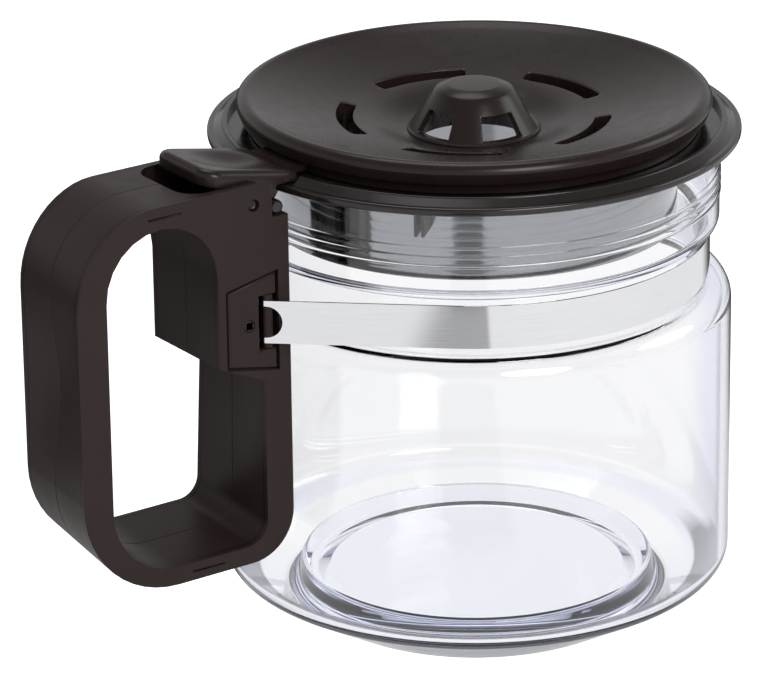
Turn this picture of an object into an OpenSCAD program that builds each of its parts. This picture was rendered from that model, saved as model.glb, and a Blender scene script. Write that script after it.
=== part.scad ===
// Coffee server carafe: a glass vessel held by a steel band in a two-part handle,
// with a collar in its neck and a vented lid that a thumb lever lifts.
// Millimetres, Z up, origin at the centre of the flat foot. The handle points along -X.

/* [Glass] */
// Outer radius of the body
body_r = 64; // [60:0.5:70]
// Thickness of the wall
glass_wall = 2.4; // [1.8:0.1:2.6]
// Thickness of the floor
floor_t = 3; // [2:0.25:4]
// Radius of the flat foot
foot_r = 42; // [36:1:46]
// Height of the raised middle of the base
punt_h = 9; // [6:0.5:10]
// Slope of the heel above the foot, in degrees
heel_slope = 30; // [24:1:34]
// Outer radius of the rounding between heel and body
heel_r = 6; // [4:0.5:9]
// Outer radius of the neck
neck_r = 60.8; // [58:0.2:63]
// Depth of the band's groove below the neck
groove_depth = 2.8; // [2.6:0.1:4]
// Height of the rim above the table
rim_z = 124.4; // [118:0.2:130]
// How far each fine ridge stands out of the neck
ridge_h = 0.3; // [0.2:0.05:0.5]

/* [Band] */
// Height of the band's middle above the table
band_z = 94; // [90:0.5:97]
// Width of the steel strip
band_h = 10.8; // [9:0.2:13]
// Thickness of the steel strip
band_t = 0.5; // [0.4:0.05:0.7]
// Glass left bare above and below the band in its groove
groove_margin = 1.6; // [1:0.1:2.5]
// Radius of the round notch in each end of the band
notch_r = 4; // [3:0.1:4.3]
// Angle that each hooked end wraps round its post, in degrees
hook_wrap = 150; // [110:5:160]

/* [Collar and sleeve] */
// How far the flange stands out past the neck
flange_out = 5.2; // [4:0.2:6.5]
// Thickness of the flange
flange_t = 2; // [1.6:0.1:2.6]
// Height of the upstand round the lid
upstand_h = 1.7; // [1.2:0.1:2.2]
// Height of the fins that centre the collar in the neck
fin_h = 8; // [5:0.5:11]
// Space between the sleeve and the inside of the neck
sleeve_space = 7.9; // [5:0.1:10]
// Length of the sleeve below the rim
sleeve_h = 21; // [16:0.5:26]
// Wall thickness of the sleeve
sleeve_t = 0.8; // [0.6:0.1:1.2]

/* [Handle] */
// Width across the two cheeks
handle_w = 28.8; // [26:0.2:32]
// Height of the handle
handle_h = 96.8; // [92:0.2:104]
// Space between the body of the glass and the handle's front edge
front_space = 1.4; // [1:0.1:2.5]
// Thickness of the spine behind the glass
spine_t = 7.6; // [7:0.2:9]
// Depth of the lever pocket block, front to back
block_depth = 20.4; // [19.8:0.2:23]
// Half the width of the finger opening
finger_r = 15.5; // [14:0.25:19]
// Thickness of the grip behind the fingers
grip_t = 8.2; // [6:0.2:11]
// Thickness of the arch above the fingers
arch_t = 5.6; // [5:0.1:7]
// Thickness of the bar below the fingers
bar_t = 4.6; // [4.4:0.1:6]
// Thickness of the cheeks
cheek_t = 2.2; // [1.8:0.1:2.6]
// Thickness of the other walls
wall_t = 1.6; // [1.2:0.1:1.8]

/* [Hinge and anchors] */
// Diameter of the hinge pin
pin_d = 3; // [2.5:0.1:3.6]
// Distance of the pin behind the handle's front edge
pin_back = 9.7; // [9:0.1:11]
// Radius of the round ear about the pin
ear_r = 5.2; // [4.9:0.1:6]
// Thickness of the anchor plates
plate_t = 1.4; // [1.2:0.1:1.6]
// Diameter of the screw heads
screw_head_d = 2.9; // [2.4:0.1:3.4]
// Diameter of the screw shanks
screw_d = 1.8; // [1.4:0.1:2.1]

/* [Lid] */
// Space between the lid and the collar's upstand
lid_space = 2.2; // [1.5:0.1:3]
// Height of the lid's crest above the glass rim
crest_h = 10.4; // [9.5:0.1:12]
// Depth of the dish below the crest
dish_depth = 8.3; // [7:0.1:8.6]
// Thickness of the lid
lid_t = 2; // [1.6:0.1:2.2]
// Radius of the vented dome at its seat
dome_r = 16.5; // [15:0.25:19]
// Height of the dome above its seat
dome_h = 11.3; // [9.5:0.1:13]
// Wall thickness of the dome
dome_t = 1.5; // [1.2:0.1:1.9]
// Length of the thumb pad behind the pin
pad_back = 11.8; // [11:0.1:12.4]
// Height of the thumb pad above the pin
pad_rise = 10.1; // [9.5:0.1:10.6]

/* [Hidden] */
$fn = 96;

// Clearances and small overlaps
seat_gap = 0.05;
pin_gap = 0.05;
slide_gap = 0.4;
snap_gap = 0.1;
lap = 0.4;

// Glass
groove_r = neck_r - groove_depth;
shoulder_in = body_r - groove_r;
shoulder_r = abs(shoulder_in);
shoulder_side = shoulder_in > 0 ? 0 : 180;
groove_low = band_z - band_h/2 - groove_margin;
groove_high = band_z + band_h/2 + groove_margin;
foot_w = 1.6;
heel_z = (body_r - heel_r + heel_r*sin(heel_slope) - foot_r)*tan(heel_slope) + heel_r*cos(heel_slope);
ridge_count = 3;
ridge_pitch = 2.4;
ridge_drop = 9.6;

// Collar
collar_z = rim_z + seat_gap;
ledge_z = collar_z + flange_t;
flange_r = neck_r + flange_out;
sleeve_r = neck_r - glass_wall - sleeve_space;
spigot_r = sleeve_r - sleeve_t - seat_gap;
spigot_t = 1.2;
spigot_h = 5;
upstand_out = 0.2;
upstand_r = neck_r + upstand_out;
upstand_t = 1.4;
fin_t = 0.8;
fin_pitch = 1.7;
fin_turn = 41;

// Handle, as radial distances from the axis and heights above the table
half_w = handle_w/2;
inside_w = half_w - cheek_t;
flange_lap = 0.6;
front_x = max(body_r + front_space, flange_r - flange_lap);
block_x = front_x + block_depth;
arch_x = block_x + finger_r;
finger_x = arch_x + finger_r;
grip_x = finger_x + grip_t;
pin_x = front_x + pin_back;
pin_drop = 0.2;
pin_z = rim_z - pin_drop;
top_z = pin_z + ear_r;
bottom_z = top_z - handle_h;
step_drop = 4.2;
step_z = rim_z - step_drop;
arch_z = top_z - arch_t - finger_r;
finger_z = bottom_z + bar_t;
block_drop = 14.8;
block_slope = 24;
top_corner = 23;
heel_corner = 26;
toe_corner = 12;
finger_heel = 18;
finger_toe = 6;
pocket_l = 17.3;
pocket_x = pin_x + pocket_l;
saddle_w = 9;
saddle_low = 46;
snap_l = 9;
snap_t = 1;

// Anchors
plate_in = 3.8;
plate_l = 13.8;
plate_front = front_x + plate_in;
plate_back = plate_front + plate_l;
plate_tall = 12.3;
plate_short = 9.45;
plate_gap = 0.6;
window_l = 4.8;
window_back = plate_front + window_l;
window_h = 6.8;
post_r = 1.4;
post_in = 1.7;
post_x = plate_front + post_in;
post_out = 0.5;
post_y = inside_w + post_out;
boss_t = 2.2;
boss_margin = 1.5;
screw_in = 7.8;
screw_x = plate_front + screw_in;
screw_l = 4;
head_t = 0.9;

// Band, as the tangent from the groove to the post
band_mid_r = groove_r + seat_gap + band_t/2;
hook_mid_r = post_r + snap_gap + band_t/2;
post_dist = norm([post_x, post_y]);
tangent_turn = atan(post_y/post_x) + acos((band_mid_r - hook_mid_r)/post_dist);
tangent_l = sqrt(post_dist^2 - (band_mid_r - hook_mid_r)^2);

// Lid and lever
lid_r = upstand_r - lid_space;
crest_z = rim_z + crest_h;
dish_z = crest_z - dish_depth;
crest_r = 2.4;
crest_end = 110;
lip_in = 5.2;
lip_r = lid_r - lip_in;
lip_drop = 0.9;
lip_z = crest_z - lip_drop;
rim_rise = 5.1;
rim_low = rim_z + rim_rise;
rim_t = 1.8;
ring_t = 1.6;
rest_in = 3;
locate_gap = 0.55;
seat_w = 1.3;
hole_r = dome_r - seat_w;
slot_count = 5;
slot_r = 32;
slot_w = 4;
slot_arc = 44;
slot_turn = 80;
window_count = 5;
dome_turn = 6;
dome_seat = dish_z + seat_gap;
dome_top = dome_seat + dome_h;
dome_flat_r = 6.8;
dome_shoulder_r = 9.9;
dome_shoulder_h = 1.4;
dome_step = 0.6;
dome_foot_t = 1;
dome_window_w = 9;
dome_window_h = 5;
dome_window_low = 1.2;
barb_out = 0.5;
barb_h = 1.6;
lever_w = inside_w - slide_gap;
web_t = 2.2;
pad_t = 2.2;
pad_x = pin_x + pad_back;
pad_z = pin_z + pad_rise;
tongue_t = 1.8;
tongue_top = rim_low - slide_gap;
tongue_w = 8;
tongue_l = 10;
tongue_in = lid_r - tongue_l;
lever_out = 2;
lever_front = lid_r + lever_out;
lip_depth = 4;
skirt_run = 5.6;
scoop_r = 30;
scoop_depth = 1.2;
scoop_shift = 9;
stake_in = 7.8;
stake_x = lid_r - stake_in;
stake_y = 5;
stake_r = 1.2;
lobe_r = 4.2;
web_tip = 6.7;
eye_r = 3.6;
eye_root = 2;
eye_t = 2.6;
eye_y = lever_w - web_t - slide_gap;
trunnion_r = 1.7;
trunnion_in = 2.3;
trunnion_x = front_x + trunnion_in;
trunnion_z = step_z + trunnion_r + snap_gap;

// Points along an arc about a centre, from one angle to another
function arc(centre, r, from, to, n = 12) =
    [for (i = [0:n]) centre + r*[cos(from + (to - from)*i/n), sin(from + (to - from)*i/n)]];

// Height of the dish's upper face at a radius
function dish(r) = dish_z + (lip_z - dish_z)*(r^2 - dome_r^2)/(lip_r^2 - dome_r^2);

// Height of the thumb pad's upper face at a distance from the axis
function pad_top(x) = tongue_top + (pad_z - tongue_top)*(x - lever_front)/(pad_x - lever_front);

// Outline of the handle seen from the side, drawn in by a margin
function handle_outline(m) = concat(
    arc([grip_x - top_corner, top_z - top_corner], top_corner - m, 0, 90),
    arc([pin_x, pin_z], ear_r - m, 90, 180),
    [[pin_x - ear_r + m, step_z - m], [front_x + m, step_z - m]],
    arc([front_x + toe_corner, bottom_z + toe_corner], toe_corner - m, 180, 270),
    arc([grip_x - heel_corner, bottom_z + heel_corner], heel_corner - m, 270, 360));

// Lower edge of the lever pocket block at a distance from the axis
function block_low(x) = band_z - block_drop + (x - front_x - spine_t)*tan(block_slope);

// Outline of the finger opening seen from the side, let out by a margin
function finger_outline(m) = concat(
    arc([arch_x, arch_z], finger_r + m, 0, 180),
    [[block_x - m, block_low(block_x - m) + m/cos(block_slope)],
     [front_x + spine_t - m, block_low(front_x + spine_t - m) + m/cos(block_slope)]],
    arc([front_x + spine_t + finger_toe, finger_z + finger_toe], finger_toe + m, 180, 270),
    arc([finger_x - finger_heel, finger_z + finger_heel], finger_heel + m, 270, 360));

// Outline of an anchor plate seen from the side, let out by a margin
function plate_outline(m) = [
    [plate_front - m, band_z - plate_tall - m], [plate_back + m, band_z - plate_short - m],
    [plate_back + m, band_z + plate_short + m], [plate_front - m, band_z + plate_tall + m]];

// A side view, with its x the distance from the axis, made solid from one y to another
module side_solid(from_y, to_y) {
    translate([0, to_y, 0]) rotate([90, 0, 0]) linear_extrude(to_y - from_y) mirror([1, 0]) children();
}

// A round bar across the handle at a distance from the axis and a height
module cross_bar(x, z, r, from_y, to_y) {
    translate([-x, to_y, z]) rotate([90, 0, 0]) cylinder(r = r, h = to_y - from_y);
}

// A child and its mirror image across the handle's middle plane
module both_sides() {
    children();
    mirror([0, 1, 0]) children();
}

module glass_vessel() {
    punt_r = foot_r + glass_wall;
    valley_r = punt_r + foot_w;
    inner_heel = [body_r - heel_r, heel_z] + (heel_r - glass_wall)*[sin(heel_slope), -cos(heel_slope)];
    neck_bend = max(lap/2, groove_depth - glass_wall);
    shoulder_bend = shoulder_in > 0 ? max(lap/2, shoulder_r - glass_wall) : shoulder_r + glass_wall;
    outside = concat(
        [[0, punt_h], [foot_r - 2*foot_w, punt_h], [foot_r - foot_w, 0], [foot_r, 0]],
        arc([body_r - heel_r, heel_z], heel_r, heel_slope - 90, 0),
        arc([groove_r, groove_low - shoulder_r], shoulder_r, shoulder_side, 90),
        arc([groove_r, groove_high + groove_depth], groove_depth, -90, 0),
        arc([neck_r - glass_wall/2, rim_z - glass_wall/2], glass_wall/2, 0, 180));
    inside = concat(
        arc([groove_r, groove_high + groove_depth], neck_bend, 0, -90),
        arc([groove_r, groove_high], glass_wall, 90, 180),
        arc([groove_r, groove_low], glass_wall, 180, 270),
        arc([groove_r, groove_low - shoulder_r], shoulder_bend, 90, shoulder_side),
        arc([body_r - heel_r, heel_z], heel_r - glass_wall, 0, heel_slope - 90),
        [[valley_r, inner_heel.y - (inner_heel.x - valley_r)*tan(heel_slope)]],
        arc([punt_r - floor_t/2, punt_h + floor_t/2], floor_t/2, 0, 90),
        [[0, punt_h + floor_t]]);
    color([0.86, 0.92, 0.95, 0.35]) {
        rotate_extrude() polygon(concat(outside, inside));
        for (i = [0:ridge_count - 1])
            rotate_extrude() translate([neck_r - ridge_h, rim_z - ridge_drop - i*ridge_pitch])
                circle(r = 2*ridge_h);
    }
}

// The straight, hooked end of the band on the -Y side
module band_end() {
    rotate([0, 0, 180 + tangent_turn]) difference() {
        union() {
            translate([band_mid_r - band_t/2, -tangent_l, band_z - band_h/2])
                cube([band_t, tangent_l + lap, band_h]);
            translate([band_mid_r - hook_mid_r, -tangent_l, band_z - band_h/2]) rotate([0, 0, -hook_wrap])
                rotate_extrude(angle = hook_wrap) translate([hook_mid_r - band_t/2, 0])
                    square([band_t, band_h]);
        }
        translate([band_mid_r - 3*hook_mid_r, -tangent_l, band_z]) rotate([0, 90, 0])
            cylinder(r = notch_r, h = 4*hook_mid_r);
        translate([band_mid_r - 3*hook_mid_r, -tangent_l - 2*hook_mid_r, band_z - notch_r])
            cube([4*hook_mid_r, 2*hook_mid_r, 2*notch_r]);
    }
}

module steel_band() {
    color([0.82, 0.83, 0.85]) {
        rotate([0, 0, 180 + tangent_turn]) rotate_extrude(angle = 360 - 2*tangent_turn)
            translate([band_mid_r - band_t/2, band_z - band_h/2]) square([band_t, band_h]);
        both_sides() band_end();
    }
}

module collar() {
    spigot_in = spigot_r - spigot_t;
    fin_in = sleeve_r + seat_gap;
    fin_out = neck_r - glass_wall - slide_gap;
    color([0.17, 0.14, 0.13]) {
        difference() {
            rotate_extrude() polygon([
                [spigot_in, collar_z - spigot_h], [spigot_r, collar_z - spigot_h], [spigot_r, collar_z],
                [flange_r, collar_z], [flange_r, ledge_z],
                [upstand_r + upstand_t, ledge_z + upstand_h], [upstand_r, ledge_z + upstand_h],
                [upstand_r, ledge_z], [spigot_in, ledge_z]]);
            translate([-flange_r - 1, -lever_w - 2*slide_gap, ledge_z])
                cube([flange_r + 1 - sleeve_r, 2*lever_w + 4*slide_gap, upstand_h + 1]);
        }
        for (turn = [0, 120, 240], side = [-1, 1])
            rotate([0, 0, 180 + fin_turn + turn])
                translate([fin_in, side*fin_pitch/2 - fin_t/2, collar_z - fin_h])
                    cube([fin_out - fin_in, fin_t, fin_h + lap]);
        both_sides() difference() {
            side_solid(-eye_y, eye_t - eye_y) {
                translate([pin_x, pin_z]) circle(r = eye_r);
                polygon([[flange_r - eye_root, collar_z], [flange_r - eye_root, ledge_z],
                         [pin_x, pin_z + eye_r], [pin_x, pin_z - eye_r],
                         [trunnion_x, trunnion_z - trunnion_r], [trunnion_x - trunnion_r, trunnion_z]]);
            }
            cross_bar(pin_x, pin_z, pin_d/2 + pin_gap, -half_w, half_w);
        }
        cross_bar(trunnion_x, trunnion_z, trunnion_r, -half_w, half_w);
    }
}

module neck_sleeve() {
    color([0.60, 0.61, 0.63]) rotate_extrude() translate([sleeve_r - sleeve_t, collar_z - sleeve_h])
        square([sleeve_t, sleeve_h - seat_gap]);
}

// The hollow inside of the handle seen from the side
module handle_hollow() {
    difference() {
        polygon(handle_outline(wall_t));
        polygon(finger_outline(wall_t));
        translate([pocket_x, arch_z]) square([wall_t, top_z - arch_z]);
    }
}

// The half of the handle on the -Y side, before the two halves' snaps
module handle_half() {
    difference() {
        union() {
            difference() {
                side_solid(-half_w, 0) difference() {
                    polygon(handle_outline(0));
                    polygon(finger_outline(0));
                }
                side_solid(-inside_w, 1) handle_hollow();
            }
            side_solid(-inside_w - lap, boss_t - inside_w) intersection() {
                polygon(plate_outline(boss_margin));
                difference() {
                    polygon(handle_outline(wall_t/2));
                    polygon(finger_outline(wall_t/2));
                }
            }
            difference() {
                translate([-front_x - lap, -saddle_w, saddle_low])
                    cube([front_x + 2*lap - body_r, saddle_w, groove_low - shoulder_r - saddle_low]);
                cylinder(r = body_r + seat_gap, h = rim_z);
            }
        }
        side_solid(-inside_w, 1) translate([front_x - 1, step_z]) square([pocket_x - front_x + 1, handle_h]);
        side_solid(-half_w - 1, plate_t - half_w) polygon(plate_outline(plate_gap));
        side_solid(-half_w - 1, 2*boss_t - inside_w)
            translate([plate_front - plate_gap, band_z - window_h - 2*lap])
                square([window_back - plate_front + plate_gap, 2*window_h + 4*lap]);
        cross_bar(pin_x, pin_z, pin_d/2 + pin_gap, -half_w - 1, 0);
        cross_bar(screw_x, band_z, screw_d/2 + pin_gap/2, -half_w, 0);
    }
}

// The two flat tongues that join the halves, let out by a margin
module snap_tongues(from_y, to_y, m) {
    top_mid = (top_z + arch_z + finger_r)/2;
    low_mid = (bottom_z + finger_z)/2;
    side_solid(from_y, to_y) {
        translate([pocket_x + 2*wall_t - m, top_mid - snap_t/2 - m]) square([snap_l + 2*m, snap_t + 2*m]);
        translate([block_x - m, low_mid - snap_t/2 - m]) square([snap_l + 2*m, snap_t + 2*m]);
    }
}

module handle_right() {
    color([0.20, 0.16, 0.15]) difference() {
        handle_half();
        snap_tongues(-half_w - 1, 1, snap_gap);
    }
}

module handle_left() {
    color([0.20, 0.16, 0.15]) {
        mirror([0, 1, 0]) handle_half();
        snap_tongues(snap_gap - half_w, inside_w + lap, 0);
    }
}

// The anchor plate on the -Y side, with the post that the band hooks round
module anchor_plate() {
    difference() {
        side_solid(-half_w, plate_t - half_w) difference() {
            polygon(plate_outline(0));
            translate([plate_front - 1, band_z - window_h])
                square([window_back - plate_front + 1, 2*window_h]);
        }
        cross_bar(screw_x, band_z, screw_head_d/2 + snap_gap, -half_w - 1, head_t + snap_gap - half_w);
        cross_bar(screw_x, band_z, screw_d/2 + pin_gap, -half_w - 1, 0);
    }
    translate([-post_x, -post_y, band_z - window_h - lap]) cylinder(r = post_r, h = 2*(window_h + lap));
}

module anchor_plate_right() {
    color([0.15, 0.12, 0.11]) anchor_plate();
}

module anchor_plate_left() {
    color([0.15, 0.12, 0.11]) mirror([0, 1, 0]) anchor_plate();
}

// The screw on the -Y side
module anchor_screw() {
    cross_bar(screw_x, band_z, screw_head_d/2, snap_gap - half_w, head_t + snap_gap - half_w);
    cross_bar(screw_x, band_z, screw_d/2, snap_gap - half_w, screw_l + snap_gap - half_w);
}

module anchor_screw_right() {
    color([0.35, 0.33, 0.32]) anchor_screw();
}

module anchor_screw_left() {
    color([0.35, 0.33, 0.32]) mirror([0, 1, 0]) anchor_screw();
}

module hinge_pin() {
    color([0.55, 0.55, 0.56]) cross_bar(pin_x, pin_z, pin_d/2, lap - half_w, half_w - lap);
}

module thumb_lever() {
    lip_x = pad_x - pad_t;
    scoop_x = (pad_x + pin_x)/2 - scoop_shift;
    color([0.19, 0.17, 0.17]) difference() {
        union() {
            side_solid(-lever_w, lever_w) polygon([
                [pad_x, pad_z], [lever_front, tongue_top], [lever_front, tongue_top - tongue_t],
                [lip_x, pad_top(lip_x) - pad_t], [lip_x, pad_z - lip_depth], [pad_x, pad_z - lip_depth]]);
            side_solid(-tongue_w, tongue_w) translate([tongue_in, tongue_top - tongue_t])
                square([lever_front - tongue_in + lap, tongue_t]);
            both_sides() side_solid(-lever_w, web_t - lever_w) {
                translate([pin_x, pin_z]) circle(r = lobe_r);
                polygon([[pad_x, pad_z - pad_t/2], [lever_front, tongue_top - tongue_t/2],
                         [lever_front, ledge_z + slide_gap], [flange_r + slide_gap, ledge_z + slide_gap],
                         [pin_x - web_tip, pin_z], [pin_x - 0.6*lobe_r, pin_z - 0.8*lobe_r],
                         [pin_x + 0.8*lobe_r, pin_z - 0.6*lobe_r],
                         [pad_x - skirt_run, pad_z - lip_depth - skirt_run], [pad_x, pad_z - lip_depth]]);
            }
        }
        cross_bar(pin_x, pin_z, pin_d/2 + pin_gap, -half_w, half_w);
        for (side = [-1, 1])
            translate([-stake_x, side*stake_y, 0]) cylinder(r = stake_r + pin_gap, h = crest_z);
        translate([-scoop_x, 0, pad_top(scoop_x) + scoop_r - scoop_depth]) sphere(r = scoop_r);
    }
}

module lid() {
    rim_in = lid_r - rim_t;
    rest_r = lid_r - rest_in;
    rest_low = ledge_z + slide_gap;
    locate_r = spigot_r - spigot_t - locate_gap;
    locate_low = collar_z - ring_t;
    steps = 14;
    upper = [for (i = [0:steps]) let (r = hole_r + (lip_r - hole_r)*i/steps) [r, dish(r)]];
    under = [for (i = [steps:-1:0]) upper[i] - [0, lid_t]];
    color([0.21, 0.18, 0.17]) {
        difference() {
            union() {
                rotate_extrude() polygon(concat(
                    upper, arc([lid_r - crest_r, crest_z - crest_r], crest_r, crest_end, 0),
                    [[lid_r, rim_low], [rim_in, rim_low], [rim_in, crest_z - crest_r]], under));
                rotate_extrude() translate([rest_r - ring_t, rest_low])
                    square([ring_t, lip_z - lid_t/2 - rest_low]);
                rotate_extrude() translate([locate_r - ring_t, locate_low])
                    square([ring_t, dish(locate_r - ring_t) - lid_t/2 - locate_low]);
            }
            for (i = [0:slot_count - 1])
                rotate([0, 0, slot_turn + i*360/slot_count - slot_arc/2])
                    rotate_extrude(angle = slot_arc) translate([slot_r - slot_w/2, locate_low])
                        square([slot_w, crest_z - locate_low]);
            translate([-lid_r, -tongue_w - slide_gap, ledge_z])
                cube([lid_r - tongue_in + slide_gap, 2*(tongue_w + slide_gap), tongue_top - ledge_z]);
        }
        for (side = [-1, 1]) translate([-stake_x, side*stake_y, 0]) {
            translate([0, 0, tongue_top]) cylinder(r = 2*stake_r, h = dish(stake_x) - lid_t/2 - tongue_top);
            translate([0, 0, tongue_top - tongue_t - snap_gap]) cylinder(r = stake_r, h = tongue_t + lap);
        }
    }
}

module drip_dome() {
    skirt_out = hole_r - 2*snap_gap;
    skirt_in = dome_r - dome_step - dome_t - lap;
    foot_top = dome_seat + dome_foot_t;
    barb_z = dish(hole_r) - lid_t - 2*snap_gap;
    shoulder_z = dome_top - dome_shoulder_h;
    color([0.20, 0.18, 0.17]) difference() {
        rotate_extrude() polygon([
            [0, dome_top], [dome_flat_r, dome_top], [dome_shoulder_r, shoulder_z],
            [dome_r - dome_step, foot_top], [dome_r, foot_top], [dome_r, dome_seat],
            [skirt_out, dome_seat], [skirt_out, barb_z], [skirt_out + barb_out, barb_z - barb_h/4],
            [skirt_out, barb_z - barb_h], [skirt_in, barb_z - barb_h], [skirt_in, foot_top],
            [dome_shoulder_r - dome_t, shoulder_z - dome_t/2], [dome_flat_r - dome_t/2, dome_top - dome_t],
            [0, dome_top - dome_t]]);
        for (i = [0:window_count - 1])
            rotate([0, 0, 180 + dome_turn + i*360/window_count])
                translate([dome_shoulder_r - dome_t, -dome_window_w/2, dome_seat + dome_window_low])
                    cube([dome_r, dome_window_w, dome_window_h]);
    }
}

glass_vessel();
steel_band();
collar();
neck_sleeve();
handle_right();
handle_left();
anchor_plate_right();
anchor_plate_left();
anchor_screw_right();
anchor_screw_left();
hinge_pin();
thumb_lever();
lid();
drip_dome();
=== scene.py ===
"""Looks of a coffee server carafe: its pieces, finishes, studio and camera.

Sizes are in millimetres, as in the part's source, and go to metres when a piece is made.
The vessel stands on its axis Z and the handle points along -X.
"""

import logging
import math
from dataclasses import dataclass
from enum import Enum
from typing import Callable, Iterable, Sequence

import bmesh
import bpy
from bmesh.types import BMEdge, BMFace, BMesh, BMVert
from mathutils import Matrix, Vector


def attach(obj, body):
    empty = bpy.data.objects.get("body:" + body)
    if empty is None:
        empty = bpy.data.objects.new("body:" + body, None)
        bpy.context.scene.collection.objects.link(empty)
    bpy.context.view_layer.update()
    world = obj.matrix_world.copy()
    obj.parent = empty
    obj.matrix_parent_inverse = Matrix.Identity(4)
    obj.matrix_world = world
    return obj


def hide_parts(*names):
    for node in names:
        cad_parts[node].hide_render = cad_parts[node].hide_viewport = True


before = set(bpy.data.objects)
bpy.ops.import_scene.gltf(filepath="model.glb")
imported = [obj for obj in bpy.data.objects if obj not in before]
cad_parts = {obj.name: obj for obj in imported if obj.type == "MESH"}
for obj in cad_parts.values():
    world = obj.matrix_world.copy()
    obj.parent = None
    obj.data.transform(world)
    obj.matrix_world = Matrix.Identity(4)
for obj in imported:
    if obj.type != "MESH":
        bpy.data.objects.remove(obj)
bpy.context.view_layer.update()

LOG = logging.getLogger("carafe")
MM = 0.001
TURN_STEPS = 180
MERGE_MM = 0.0005
# Points this close share a plane, and points this near a band belong to it.
FLUSH_MM = 0.01
NEAR_MM = 0.1
# Faces that meet at more than this angle, in radians, form a corner.
CORNER = 1.0
# Faces of a CAD mesh that meet at less than this angle, in degrees, are one flat face.
FLAT_DEG = 0.4
# The values between which most of a noise texture lies.
NOISE_LOW = 0.3
NOISE_HIGH = 0.7
WHITE = (1.0, 1.0, 1.0)
UP = Vector((0.0, 0.0, 1.0))
FINISH_NAME = "{}_finish"
Colour = tuple[float, float, float]
Place = tuple[float, float, float]
Pair = tuple[float, float]
Socket = bpy.types.NodeSocket
Value = float | Socket


class Body(Enum):
    """The rigid bodies that pieces ride on."""

    SERVER = "server"
    LID = "lid"


class Side(Enum):
    """The two sides of the handle, with the sign of their Y."""

    RIGHT = -1
    LEFT = 1

    @property
    def word(self) -> str:
        """The side's name in lower case."""
        return self.name.lower()


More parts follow.
